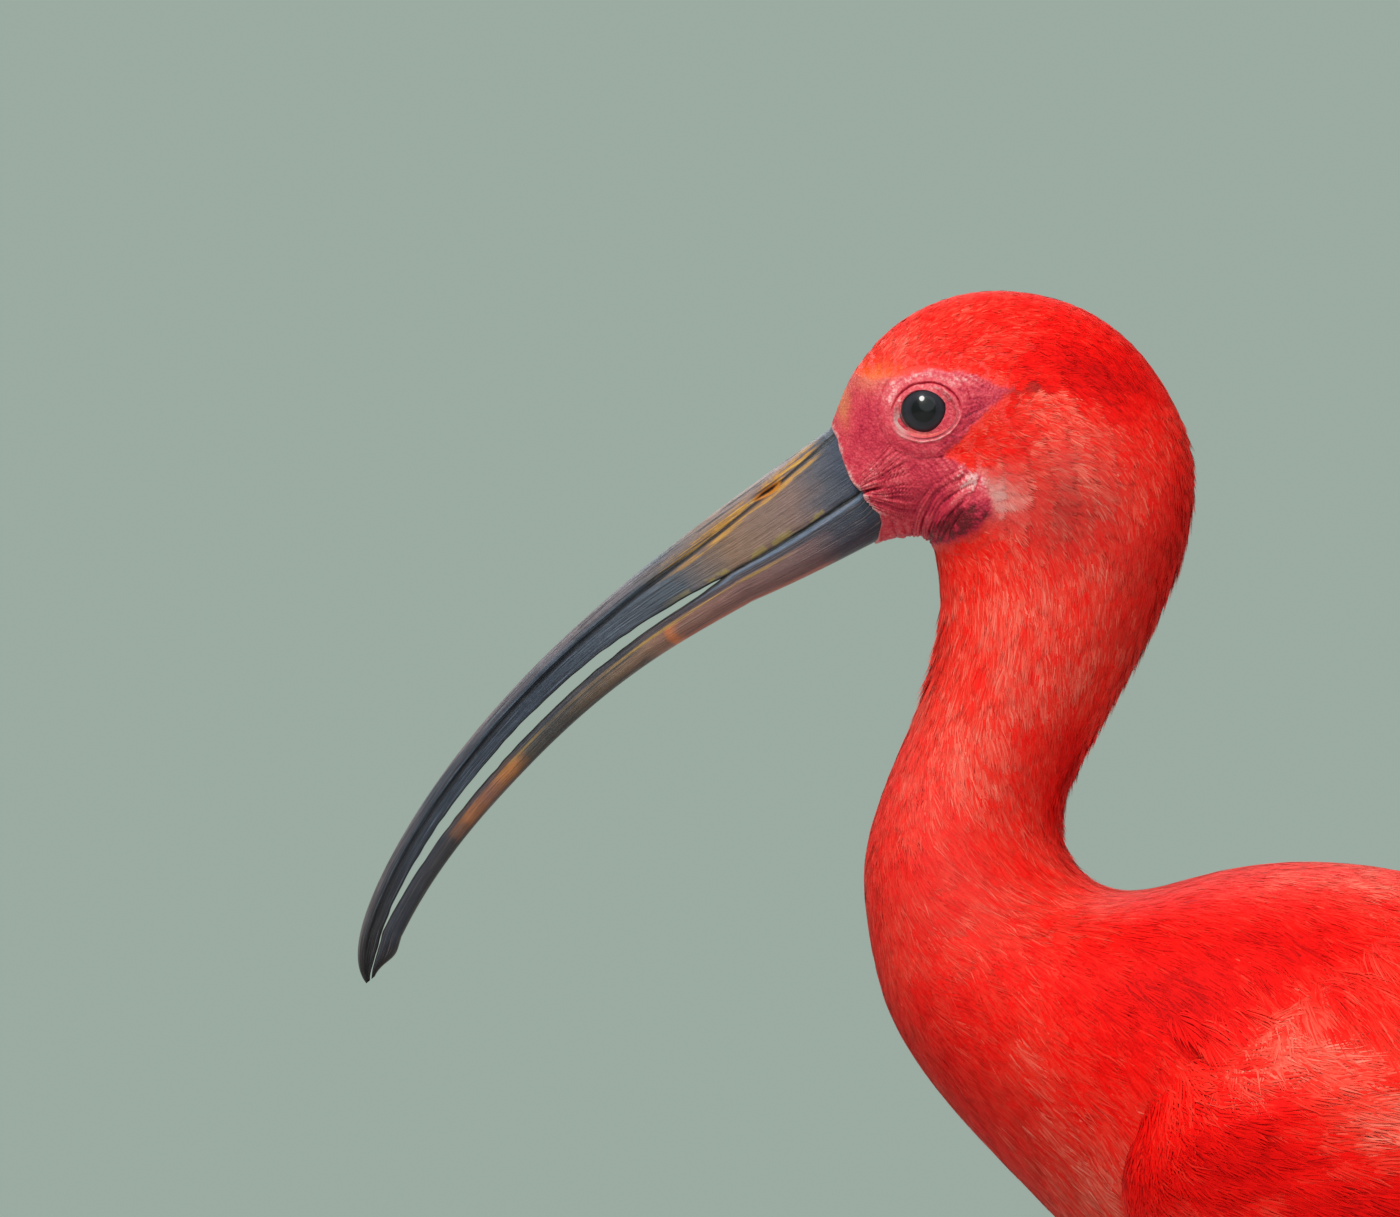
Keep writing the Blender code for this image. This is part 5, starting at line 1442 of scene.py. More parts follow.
def make_coverts(word, side, plumage, wider):
    surface = Surface(wing_shape(side), (-6.0, 156.0), (-0.1, 1.1), (325, 121), side)
    for number, (part, first, last, spacing, barbs) in enumerate(COVERTS):
        rng = np.random.default_rng(70 + 2 * number + side)
        roots = spread_roots(surface, (first, last), (0.03, 1.04), even(spacing * wider), rng)
        s, b = roots
        at, _, along, _ = surface.at(s, b)
        # High on the wing's front they lie as the back's feathers do, though the wing's edge climbs there
        high = 0.4 * smooth(0.5 - b, 0.0, 0.35) * fall_off(s, 25.0, 60.0)
        climb = np.degrees(np.arctan2(along[:, 2], along[:, 0]))
        lean = 16.0 * smooth(0.45 - b, 0, 0.5) - 6.0 * smooth(b - 0.6, 0, 0.4)
        lean = lean * (1 - high) + (climb + 18.0) * high
        coat_piece(
            f"coverts_{word}_{part}", surface, roots, unwrap_wing(s, b), plumage_marks(at), rng, plumage,
            heading=lean + rng.normal(0, 5.0, len(s)) + 6.0 * noise(at, 12.0, 52),
            length=np.interp(s, (-4, 20, 60), (11.0, 14.0, 19.0)) * rng.uniform(0.85, 1.15, len(s)),
            breadth=np.interp(s, (-4, 20, 60), (5.5, 6.5, 8.5)) * rng.uniform(0.85, 1.15, len(s)),
            depth=np.interp(s, (-4, 10, 60), (1.1, 1.3, 1.5)), barbs=barbs,
        )  # fmt: skip


def make_scapulars(word, side, plumage, wider):
    """The long feathers of the back, which run down on to the wing."""
    rng = np.random.default_rng(76 + side)
    cape = Surface(cape_shape(side), (12.4, 19.9), (-3.0, 130.0), (301, 181), side)
    u, turn = spread_roots(cape, (12.8, 18.4), (0.0, 112.0), even(2.5 * wider), rng)
    s, b, _ = cape_height(u, turn)
    keep = (turn > 0.0) & (b < 0.16 - 0.06 * smooth(-s, -24.0, 4.0) + rng.normal(0, 0.06, len(b)))
    keep &= rng.random(len(b)) < smooth(b, -0.5, -0.2) * smooth(u, 12.8, 14.2)
    u, turn, s, b = u[keep], turn[keep], s[keep], b[keep]
    at, count = cape.at(u, turn)[0], len(s)
    heading = np.interp(s, (0, 20, 70), (22.0, 20.0, 12.0)) * smooth(turn, -6, 30)
    coat_piece(
        f"scapulars_{word}", cape, (u, turn), unwrap_wing(np.clip(s, -6, 150), np.clip(b, -0.1, 1)),
        plumage_marks(at), rng, plumage,
        heading=heading + rng.normal(0, 5.0, count) + 6.0 * noise(at, 12.0, 53),
        length=np.interp(s, (-6, 20, 80), (12.0, 17.0, 24.0)) * rng.uniform(0.85, 1.15, count),
        breadth=np.interp(s, (-6, 20, 80), (6.0, 8.5, 11.0)) * rng.uniform(0.85, 1.15, count),
        depth=np.interp(u, (12.8, 14.6), (0.7, 1.0)), barbs=23, sink=0.2 + 1.7 * fall_off(u, 13.3, 14.8),
    )  # fmt: skip


def make_long_feathers(word, side, plumage):
    """The rows of long feathers over the wing, and the primaries behind them."""
    feathers = []
    for number, (root, first, last, count, long, short, half, sink, rise) in enumerate(WING_ROWS):
        rng = np.random.default_rng(80 + number + 10 * side)

        def lift_at(share, s, b):
            return wing_depth(s, b) - sink * (1 - share) + rise * np.clip(share, 0, 1)

        for i in range(count):
            b = first + (last - first) * i / (count - 1)
            start = root + rng.uniform(-3.0, 3.0)
            length = long + (short - long) * i / (count - 1) + rng.uniform(-1.5, 1.5)
            feathers.append((wing_vane(side, start, (b, b), length, half, lift_at, rng), unwrap_wing(start, b)))
    vanes_piece(f"feathers_{word}", feathers, plumage)
    feathers = []
    for i in range(PRIMARY_COUNT):
        length = PRIMARY_TIP - PRIMARY_STEP * i - PRIMARY_ROOT
        height = WING_LIFT + 0.25 + FEATHER_STEP * i
        places = (0.74 - 0.03 * i, 0.5 - 0.03 * i)
        rng = np.random.default_rng(120 + i)
        made = wing_vane(
            side, PRIMARY_ROOT, places, length, PRIMARY_HALF_WIDTH, lambda share, s, b: height + 0 * s, rng
        )
        feathers.append((made, unwrap_wing(150.0, places[0])))
    vanes_piece(f"primaries_{word}", feathers, plumage, ink_from=0.72)


def make_wings():
    plumage = plumage_finish("wing_plumage", 0.5)
    wider = 1.0
    for word, side in SIDES.items():
        make_wing_skin(word, side, plumage)
        make_coverts(word, side, plumage, wider)
        make_scapulars(word, side, plumage, wider)
        make_long_feathers(word, side, plumage)


def unwrap_wing(s, b):
    """A wing's places on its baked map."""
    across, up = 0.04 + 0.92 * (np.asarray(s) + 6.0) / 162.0, 0.06 + 0.88 * (np.asarray(b) + 0.1) / 1.2
    return np.stack(np.broadcast_arrays(across, up), -1)


# The tail's feathers: where they start, how many pairs, the middle pair's length, and how much shorter each next is
TAIL_START, TAIL_PAIRS, TAIL_LENGTH, TAIL_FALL = np.array((131.0, 0.0, 184.0)), 6, 73.0, 1.5
TAIL_PITCH, TAIL_HALF_WIDTH, TAIL_ARCH = (1.7, 5.0), 5.8, 0.006  # the pitch is between pairs, at root and tip
# The tail's root: mm along it, half its breadth, and half its height
TAIL_PLUG = ((0.0, 16.6, 14.8), (8.0, 16.0, 13.0), (18.0, 14.5, 9.4), (30.0, 13.0, 6.0), (42.0, 12.0, 3.7))
PLUG_INSET = 1.2
TAIL_SLOPE = cos_sin(27.0)
TAIL_WAY = np.array((TAIL_SLOPE[0], 0.0, -TAIL_SLOPE[1]))
TAIL_UP = np.array((TAIL_SLOPE[1], 0.0, TAIL_SLOPE[0]))


def plug_shape(share, turn):
    """Points of the tail's root, a little inside its outline: share 0 to 1, turn 0 above."""
    reach, wide, tall = np.array(TAIL_PLUG).T
    t = np.clip(share, 0, 1) * reach[-1]
    wide, tall = (np.interp(t, reach, sizes) - PLUG_INSET for sizes in (wide, tall))
    middle = TAIL_START - TAIL_UP * FEATHER_STEP * 3 + TAIL_WAY * (t + 60.0 * np.clip(share - 1, 0, None))[..., None]
    c, s = cos_sin(turn)
    tall = tall * np.where(c < 0, 0.42 + 0.58 * smooth(share, -0.05, 0.42), 1.0)  # so that no step shows below
    return middle + TAIL_UP * (tall * c)[..., None] + ACROSS * (wide * s)[..., None]


def unwrap_tail(share, turn):
    """The places of the tail's root on its baked map."""
    return np.stack((0.04 + 0.7 * share, 0.04 + 0.92 * turn / 360.0), -1)


def make_tail():
    plumage = plumage_finish("tail_plumage", 0.5)
    share, turn = grid_of(np.linspace(0, 1, 24), np.arange(0, 360, 7.5))
    points = plug_shape(share, turn).reshape(-1, 3)
    maps = {"OFBake": unwrap_tail(share, turn).reshape(-1, 2)}
    plug = new_piece(
        "tail_root", points, grid_faces(*share.shape, wrap=True), plumage, plumage_marks(points), maps
    )
    settle(plug, "red_plumage", "tail")
    feathers = []
    for pair, side in itertools.product(range(TAIL_PAIRS), SIDES.values()):
        order = pair + 1 if side < 0 or pair else 0
        length = TAIL_LENGTH - TAIL_FALL * pair

        def place(share, out, height):
            pitch = TAIL_PITCH[0] + (TAIL_PITCH[1] - TAIL_PITCH[0]) * share
            y = side * (pair + 0.5) * pitch + out
            up = -0.45 * FEATHER_STEP * order - TAIL_ARCH * y * y + height
            return TAIL_START + TAIL_WAY * (length * share)[..., None] + TAIL_UP * up[..., None] + ACROSS * y[..., None]

        rng = np.random.default_rng(140 + pair * 2 + side)
        feathers.append((vane(place, length, TAIL_HALF_WIDTH, rng), (0.82, 0.5 + 0.035 * side * (pair + 0.5))))
    vanes_piece("tail_feathers", feathers, plumage)
    rng = np.random.default_rng(160)
    surface = Surface(plug_shape, (-0.1, 1.6), (-20.0, 380.0), (80, 121))
    spacing = 2.2
    share, turn = spread_roots(surface, (0.0, 0.72), (0.0, 360.0), even(spacing), rng)
    turn = np.mod(turn, 360.0)
    count = len(share)
    coat_piece(
        "coat_tail", surface, (share, turn), unwrap_tail(share, turn), plumage_marks(surface.at(share, turn)[0]),
        rng, plumage, heading=rng.normal(0, 6.0, count), length=rng.uniform(12.0, 17.0, count),
        breadth=rng.uniform(5.5, 7.5, count), depth=np.full(count, 1.5), barbs=15,
    )  # fmt: skip


# The ridge's length, its degrees below level at the base, and how many more it bends by the end and at the very tip
BILL_LENGTH, BILL_HEADING, BILL_BEND, BILL_HOOK = 142.5, 35.5, 39.0, 55.0
BILL_PLACES = (0.0, 0.2, 0.35, 0.5, 0.65, 0.75, 0.85, 0.93, 0.98, 1.0)
upper_height = spline(BILL_PLACES, (13.6, 11.4, 8.1, 6.1, 5.2, 4.7, 4.3, 3.8, 2.4, 0.9))
lower_height = spline(BILL_PLACES, (9.2, 6.5, 5.4, 4.6, 4.1, 3.7, 3.5, 3.6, 2.6, 0.9))
bill_half_width = spline(BILL_PLACES, (7.9, 6.2, 4.9, 4.0, 3.4, 3.1, 2.9, 2.7, 1.7, 0.7))
# The gap between the halves: mm all along and more in the middle, the shares between which it widens, and how fully
GAPE, GAPE_MIDDLE, GAPE_FROM, GAPE_TO, GAPE_FULLNESS = 0.3, 2.0, 0.22, 0.92, 0.8
BASE_EASE = 0.25  # the share of the length over which the bill's sections turn from the face's slope to their own
UPPER_ROUNDING = 2.6
GROOVE_PLACES, GROOVE_HEIGHTS, GROOVE_DEPTH = (0.0, 0.12, 0.25, 0.5, 1.0), (0.9, 0.76, 0.66, 0.56, 0.5), 0.17
NOSTRIL_AT, NOSTRIL_LENGTH, NOSTRIL_WIDTH, NOSTRIL_SLOPE = (-119.3, 337.5), 6.2, 1.3, 33.0


def bill_heading(share):
    share = np.clip(share, 0, 1)
    c, s = cos_sin(BILL_HEADING + BILL_BEND * share**2 + BILL_HOOK * share**26)
    return np.stack((-c, -s), -1)


BILL_STEPS = 800
BILL_SHARE = np.linspace(0, 1, BILL_STEPS + 1)
BILL_RIDGE = np.cumsum(bill_heading((BILL_SHARE[1:] + BILL_SHARE[:-1]) / 2) * BILL_LENGTH / BILL_STEPS, axis=0)
BILL_RIDGE = np.array(STATIONS[0][:2]) + np.concatenate((np.zeros((1, 2)), BILL_RIDGE))
BILL_BASE = unit(np.array(STATIONS[0][2:4]) - np.array(STATIONS[0][:2]))  # the direction down the bill's base
BASE_HEIGHT, HORN_INSET = 24.05, 0.15  # of the bill at its base, and how far the horn starts behind it


def bill_line(share):
    """Point of the bill's ridge and the direction down its depth, as x and z in mm."""
    at = np.stack([np.interp(share, BILL_SHARE, BILL_RIDGE[:, k]) for k in range(2)], -1)
    way = bill_heading(share)
    down = np.stack((-way[..., 1], way[..., 0]), -1)
    ease = np.clip(share / BASE_EASE, 0, 1)[..., None]
    return at, unit(BILL_BASE * (1 - ease) + down * ease)


def gape(share):
    middle = np.clip((share - GAPE_FROM) / (GAPE_TO - GAPE_FROM), 0.0, 1.0)
    return GAPE + GAPE_MIDDLE * np.sin(np.pi * middle) ** GAPE_FULLNESS


def bill_place(share, across, down_by):
    """Points of the bill at a share of its length, mm across and mm down from the ridge.

    Behind its base, at a share below 0, the horn runs on under the edge of the skin.
    """
    at, down = bill_line(share)
    spot = at + down * down_by[..., None] - HORN_INSET * np.array((BILL_BASE[1], -BILL_BASE[0]))
    points = np.stack((spot[..., 0], across, spot[..., 1]), -1)
    u = np.clip(-share, 0, None) * 15.0
    turn = np.degrees(np.arccos(np.clip(1 - 2 * down_by / BASE_HEIGHT, -1, 1)))
    points = points + body_point(u, turn) - body_point(0 * u, turn)
    under = (1.5 - 0.7 * smooth(turn, 140, 175)) * smooth(behind_bill(points), 0.1, 1.0) * smooth(-share, -0.004, 0.006)
    return points - body_normal(u, turn) * under[..., None]


def bill_grid(around):
    """Shares of the bill's length, closer together near its base and its tip, by places round it."""
    along = (np.linspace(-0.036, 0.30, 156)[:-1], np.linspace(0.30, 0.93, 190)[:-1], np.linspace(0.93, 1.0, 40))
    return grid_of(np.concatenate(along), around)


def ragged_edge(share, size, seed):
    """Chips along a cutting edge, as noise that only the bill's length changes."""
    return sheet_noise(share * BILL_LENGTH, 0 * share, size, seed)


def upper_bill_shape():
    """The grid of the upper half: share of the length, height share, and points; both sides and a flat sole."""
    across = np.linspace(0, 0.75, 12)
    ridge = (1 - across**2) ** (1 / UPPER_ROUNDING)
    share, h = bill_grid(np.concatenate((ridge[:-1], np.linspace(ridge[-1], 0.0, 36))))
    inside = np.clip(share, 0, 1)
    out = np.sqrt(np.clip(1 - h**UPPER_ROUNDING, 0, 1))
    groove = np.interp(share, GROOVE_PLACES, GROOVE_HEIGHTS)
    depth = GROOVE_DEPTH * np.sin(np.pi * np.clip((share - 0.012) / 0.95, 0, 1)) ** 0.35
    out -= depth * bump(h, groove, 0.055)
    out += 0.035 * (depth > 0) * (bump(h, groove + 0.12, 0.05) + bump(h, groove - 0.11, 0.05))  # its two swollen lips
    out -= 0.05 * smooth(0.10 - h, 0.0, 0.10)
    tall = upper_height(inside)
    ragged = 0.16 * ragged_edge(share, 2.3, 61) * smooth(0.2 - h, 0, 0.2)
    points = bill_place(share, out * bill_half_width(inside), tall * (1 - h) + ragged)
    x, z = points[..., 0] - NOSTRIL_AT[0], points[..., 2] - NOSTRIL_AT[1]
    along, up = turned(x, z, NOSTRIL_SLOPE)
    slit = np.exp(-(((along / (NOSTRIL_LENGTH / 2)) ** 2 + (up / (NOSTRIL_WIDTH / 2)) ** 2) ** 2))
    rough = 0.05 * noise(points, 1.4, 62) + 0.10 * sheet_noise(share * 20, h * 9, 1.0, 63)
    points[..., 1] -= 1.5 * slit - rough * smooth(out, 0.1, 0.4)
    return share, h, points, {"slit": slit, "off": 0.5 + (h - groove) * tall / 10.0}


LOWER_SECTION = spline(
    (0, 1, 2, 2.6, 3, 4, 5, 6, 7, 8, 9, 10),
    (
        (0, 0.86), (0.5, 0.885), (0.84, 0.975), (0.92, 1.0), (0.968, 0.94), (1.0, 0.72), (0.97, 0.5), (0.88, 0.31),
        (0.75, 0.17), (0.56, 0.07), (0.3, 0.015), (0, 0),
    ),
)  # fmt: skip


def lower_bill_shape():
    """The grid of the lower half, from the middle of its top out over the rim and down to its keel."""
    share, way = bill_grid(np.concatenate((np.linspace(0, 2, 8)[:-1], np.linspace(2, 10, 34))))
    inside = np.clip(share, 0, 1)
    out, h = np.moveaxis(LOWER_SECTION(way), -1, 0)
    side = smooth(out, 0.1, 0.4)
    closed = 0.75 * fall_off(share, 0.20, 0.29)  # near its base the lower half's rim is tucked into the upper
    top = upper_height(inside) + gape(share) - closed * smooth(h, 0.86, 1.0)
    ragged = 0.14 * ragged_edge(share, 2.1, 64) * smooth(h, 0.8, 1.0)
    points = bill_place(share, out * bill_half_width(inside), top + lower_height(inside) * (1 - h) + ragged)
    points[..., 1] += (0.05 * noise(points, 1.4, 65) + 0.06 * sheet_noise(share * 24, h * 7, 1.0, 66)) * side
    plate = fall_off(share + 0.05 * (h - 0.35) ** 2, 0.344, 0.350) * smooth(share, 0.06, 0.1)
    plate = plate * fall_off(h, 0.66, 0.74)
    points[..., 1] += 0.22 * plate * side
    return share, h, points, {"slit": plate}


def bill_half(name, shape, material, slot, node, close_with):
    """One half of the bill: its grid on one side, mirrored on the other, and closed under or above."""
    share, h, points, marks = shape
    rows, columns = share.shape
    total = rows * columns
    faces = [grid_faces(rows, columns), grid_faces(rows, columns, first=total)[:, ::-1]]
    if close_with is not None:  # the sole between the two lower edges
        a = np.arange(rows - 1) * columns + close_with
        b = a + columns
        faces.append(np.stack((a, b, b + total, a + total), -1))
    end = (rows - 1) * columns + np.arange(columns - 1)
    faces.append(np.stack((end, end + 1, end + 1 + total, end + total), -1))
    both = np.concatenate((points.reshape(-1, 3), (points * (1, -1, 1)).reshape(-1, 3)))
    marks = {key: np.tile(values.ravel(), 2) for key, values in marks.items()}
    maps = {"grain": np.tile(np.stack((share, h), -1).reshape(-1, 2), (2, 1))}
    piece = new_piece(name, both, faces, material, marks, maps)
    weld(piece)
    return settle(piece, slot, node)


def weld(piece):
    """Joins a piece's vertices that lie in the same place and turns its faces outwards."""
    build = bmesh.new()
    build.from_mesh(piece.data)
    bmesh.ops.remove_doubles(build, verts=build.verts, dist=1e-6)
    bmesh.ops.recalc_face_normals(build, faces=build.faces)
    build.to_mesh(piece.data)
    build.free()


BLUE_BLACK, BROWN_BLACK = (0.026, 0.034, 0.053), (0.021, 0.014, 0.013)


def horn_parts(g):
    """Share of the bill's length, height share, fine and broad streaks along the bill, blotches, and the share of
    the length pushed to and fro by them."""
    parts = g.tree.nodes.new("ShaderNodeSeparateXYZ")
    g.put(g.map("grain"), parts.inputs[0])
    along, up = (Value(g, socket) for socket in parts.outputs[:2])
    fine = g.spots(0.010, 5.0, (9.0, 3.4, 1.0), "grain", 0.62)
    broad = g.spots(0.010, 3.0, (16.0, 13.0, 1.0), "grain", 0.5)
    blotch = g.spots(0.004, 4.0)
    return along, up, fine, broad, blotch, along + (blotch - 0.5) * 0.05


def horn_surface(g, colour, fine, blotch):
    """The streaks, chips and gloss both halves of the bill share."""
    chips = g.spots(0.0011, 5.0, rough=0.7)
    flake = g.between(chips, 0.66, 0.70) * g.between(blotch, 0.50, 0.60)
    colour, height = g.mottle(g.mix(flake * 0.55, colour, (0.30, 0.23, 0.13)), 0.0022, 0.16)
    return g.wire(colour, 0.22 + fine * 0.40, fine * 2.0 + (flake * 0.4 + height), 0.00022)


def upper_horn_finish():
    """Slate and brown horn, worn to ochre along the groove."""
    g = Finish("upper_bill_horn", Roughness=0.42, Specular_IOR_Level=0.30)
    along, up, fine, broad, blotch, wander = horn_parts(g)
    off, slit = g.attribute("off"), g.attribute("slit")
    base = g.ramp(
        wander,
        (
            (0.0, (0.042, 0.052, 0.082)), (0.045, (0.080, 0.078, 0.10)), (0.09, (0.205, 0.125, 0.110)),
            (0.20, (0.225, 0.130, 0.088)), (0.29, (0.075, 0.088, 0.115)), (0.5, (0.036, 0.047, 0.073)),
            (0.8, (0.030, 0.036, 0.052)), (0.95, BROWN_BLACK),
        ),
    )  # fmt: skip
    strip = g.between(off, 0.56, 0.70) * g.between(wander, 0.03, 0.08) * g.between(broad, 0.30, 0.58)
    # Worn horn along the groove, fading a third of the way out
    span = g.between(along, 0.015, 0.05) * g.fall(wander, 0.22, 0.34)
    belt = g.math("ADD", g.band(off, 0.48, 0.53, 0.60, 0.73), g.band(off, 0.33, 0.38, 0.42, 0.46) * 0.8, clamp=True)
    worn = span * belt * g.between(fine + (broad + blotch) * 0.4, 0.83, 0.91)
    ochre = g.mix(g.between(fine, 0.5, 0.7), (0.52, 0.24, 0.03), (0.66, 0.42, 0.12))
    calm = g.fall(off, 0.30, 0.42) * g.fall(wander, 0.24, 0.32)
    dark = g.between(fine, 0.52, 0.60) * (0.8 - calm * 0.6)
    low = g.fall(up, 0.06, 0.18) * g.between(blotch, 0.50, 0.58) * g.fall(along, 0.25, 0.34)
    colour = g.layers(
        base,
        (strip * 0.7, (0.20, 0.145, 0.155)),  # a paler strip over the groove
        (worn * 0.92, ochre),
        (dark * (1.0 - worn), (0.020, 0.020, 0.028)),
        (g.fall(fine, 0.36, 0.46) * g.between(wander, 0.24, 0.36) * 0.42, (0.20, 0.23, 0.30)),
        # painted shade: a near-black line along the groove
        (g.band(off, 0.42, 0.485, 0.495, 0.53) * 0.92, (0.010, 0.009, 0.011)),  # the groove
        (low * 0.7, (0.34, 0.25, 0.07)),
        # painted shade: near-black along the lower edge, where the two halves meet
        (g.fall(up, 0.015, 0.055), (0.012, 0.011, 0.013)),
        (g.between(slit, 0.1, 0.5), (0.50, 0.17, 0.02)),  # the nostril's rim, then its opening
        (g.between(slit, 0.55, 0.95), (0.035, 0.012, 0.006)),
    )
    return horn_surface(g, colour, fine, blotch)


def lower_horn_finish():
    """Brown horn with a paler plate at its base, which its slit attribute marks, and rusty patches further out."""
    g = Finish("lower_bill_horn", Roughness=0.42, Specular_IOR_Level=0.30)
    along, up, fine, broad, blotch, wander = horn_parts(g)
    plate = g.attribute("slit")
    base = g.ramp(
        wander,
        (
            (0.0, BLUE_BLACK), (0.05, (0.045, 0.048, 0.070)), (0.095, (0.15, 0.085, 0.090)),
            (0.22, (0.235, 0.115, 0.105)), (0.34, (0.29, 0.14, 0.105)), (0.38, (0.27, 0.155, 0.105)),
            (0.44, (0.19, 0.125, 0.085)), (0.56, (0.085, 0.080, 0.072)), (0.60, (0.10, 0.080, 0.060)),
            (0.63, (0.46, 0.17, 0.05)), (0.67, (0.27, 0.11, 0.075)), (0.72, (0.36, 0.13, 0.05)),
            (0.76, (0.040, 0.038, 0.046)), (0.93, BLUE_BLACK), (0.97, BROWN_BLACK),
        ),
    )  # fmt: skip
    patch = g.between(broad, 0.50, 0.56) * g.band(along, 0.37, 0.40, 0.58, 0.62)
    end = g.between(wander, 0.315, 0.338) * plate
    gold = g.band(up, 0.63, 0.68, 0.72, 0.77) * g.between(broad, 0.44, 0.54)
    gold = gold * g.fall(along, 0.55, 0.7) * g.between(along, 0.1, 0.2)
    colour = g.layers(
        base,
        (g.fall(up, 0.03, 0.13) * plate * 0.85, (0.42, 0.085, 0.03)),
        (patch * 0.75, (0.050, 0.052, 0.058)),
        (g.fall(up, 0.08, 0.22) * g.between(along, 0.365, 0.39) * 0.75, (0.030, 0.026, 0.028)),
        (end, (0.55, 0.17, 0.065)),
        (g.between(up, 0.72, 0.80) * g.between(along, 0.03, 0.08) * 0.85, (0.035, 0.042, 0.062)),
        # a slate-blue band under the rim near the base: the rim's own colour with a painted highlight
        (g.between(up, 0.87, 0.90) * g.fall(along, 0.22, 0.32) * 0.7, (0.15, 0.20, 0.29)),
        # painted shade: near-black along the rim, where the two halves meet
        (g.between(up, 0.925, 0.955), (0.012, 0.011, 0.013)),
        (gold * 0.75, (0.42, 0.25, 0.06)),
        (g.between(fine, 0.52, 0.62) * 0.5 * (1.0 - end), (0.035, 0.026, 0.028)),
        (g.fall(fine, 0.36, 0.46) * 0.3, (0.32, 0.22, 0.19)),
    )
    return horn_surface(g, colour, fine, blotch)


def make_bill():
    bill_half("bill_upper_horn", upper_bill_shape(), upper_horn_finish(), "bill_horn", "bill_upper", 46)
    bill_half("bill_lower_horn", lower_bill_shape(), lower_horn_finish(), "lower_bill_horn", "bill_lower", None)


def eye_finish():
    """A wet dark eye: pupil, deep brown iris, and the red rim at the lids."""
    g = Finish("wet_eye", Roughness=0.3, Coat_Weight=1.0, Coat_Roughness=0.02, Coat_IOR=1.36, Specular_IOR_Level=0.12)
    fibres = g.spots(0.0005, 3.0)
    colour = g.ramp(
        g.attribute("rim") + (fibres - 0.5) * 0.05,
        (
            (0.0, (0.0006, 0.0006, 0.0015)), (0.42, (0.0006, 0.0006, 0.0015)), (0.455, (0.012, 0.011, 0.017)),
            (0.62, (0.020, 0.017, 0.026)), (0.72, (0.012, 0.011, 0.018)), (0.79, (0.003, 0.003, 0.005)),
            (0.88, (0.10, 0.05, 0.055)),
        ),
    )  # fmt: skip
    return g.wire(colour, 0.25 + fibres * 0.15)


def make_eyes():
    material = eye_finish()
    tilt, around = grid_of(np.linspace(-10, 89.5, 50), np.arange(0, 360, 4.0))
    (flat, up), (c, s) = cos_sin(tilt), cos_sin(around)
    swell = EYE_RADIUS + CORNEA_RISE * np.exp(-((flat * EYE_RADIUS / CORNEA_REACH) ** 2))
    local = np.stack((flat * c, flat * s, up), -1) * swell[..., None]
    for word, side in SIDES.items():
        turn = np.array(Vector(eye_axis(side)).to_track_quat("Z", "Y").to_matrix())
        points = eye_centre(side) + local @ turn.T
        rim = {"rim": flat * EYE_RADIUS / EYE_RIM}
        piece = new_piece(f"eyeball_{word}", points, grid_faces(*tilt.shape, wrap=True), material, rim)
        settle(piece, "eye", f"eye_{word}")


CRACK_WIDTH = 0.34  # of the cracks between plates, in plates


def cells(along, across, count, seed):
    """Rounded plates over a band: how dark the crack between two is, and a number for each plate.

    along is in plates, across in plates round a limb that has count of them.
    """
    along, across = np.broadcast_arrays(along, across)
    row = np.floor(along)
    nearest, second = np.full((2, *along.shape), 9.0)
    owner = np.zeros(along.shape)
    for step, side_step in itertools.product((-1, 0, 1), repeat=2):
        line = row + step
        shift = 0.5 * np.mod(line, 2)  # every other row lies half a plate further round
        place = np.floor(across - shift) + side_step
        key = np.mod(place, count) * 12.9898 + line * 78.233 + seed
        jitter_a, jitter_b = np.mod(np.sin(key) * 43758.5453, 1.0), np.mod(np.sin(key + 5.1) * 24634.6345, 1.0)
        off_line = along - line - 0.5 - 0.25 * (jitter_a - 0.5)
        off_place = across - shift - place - 0.5 - 0.25 * (jitter_b - 0.5)
        gap = np.hypot(off_line, off_place)
        nearer = gap < nearest
        second = np.where(nearer, nearest, np.minimum(second, gap))
        nearest = np.where(nearer, gap, nearest)
        owner = np.where(nearer, jitter_a, owner)
    return fall_off(second - nearest, 0.0, CRACK_WIDTH), owner


def leg_finish():
    """Scaled pink-red skin with dark cracks between its plates."""
    g = Finish("leg_skin", Roughness=0.5, Specular_IOR_Level=0.4)
    shade = g.math("ADD", g.attribute("plate"), (g.spots(0.004) - 0.5) * 0.5, clamp=True)
    plates = g.ramp(shade, ((0.0, (0.34, 0.070, 0.072)), (0.5, (0.46, 0.115, 0.105)), (1.0, (0.56, 0.20, 0.17))))
    colour, height = g.mottle(g.mix(g.attribute("crack"), plates, (0.20, 0.020, 0.028)), 0.0012, 0.12)
    fine = g.spots(0.0004)
    return g.wire(colour, 0.38 + fine * 0.3, fine + height, 0.00006)


def claw_finish():
    """Black horn with faint brown streaks."""
    g = Finish("claw_horn", Roughness=0.35)
    streaks = g.spots(0.0012, 4.0)
    black = g.ramp(streaks, ((0.0, (0.012, 0.009, 0.009)), (1.0, (0.06, 0.042, 0.038))))
    colour, height = g.mottle(black, 0.002, 0.2)
    return g.wire(colour, 0.22 + streaks * 0.3, height, 0.00005)


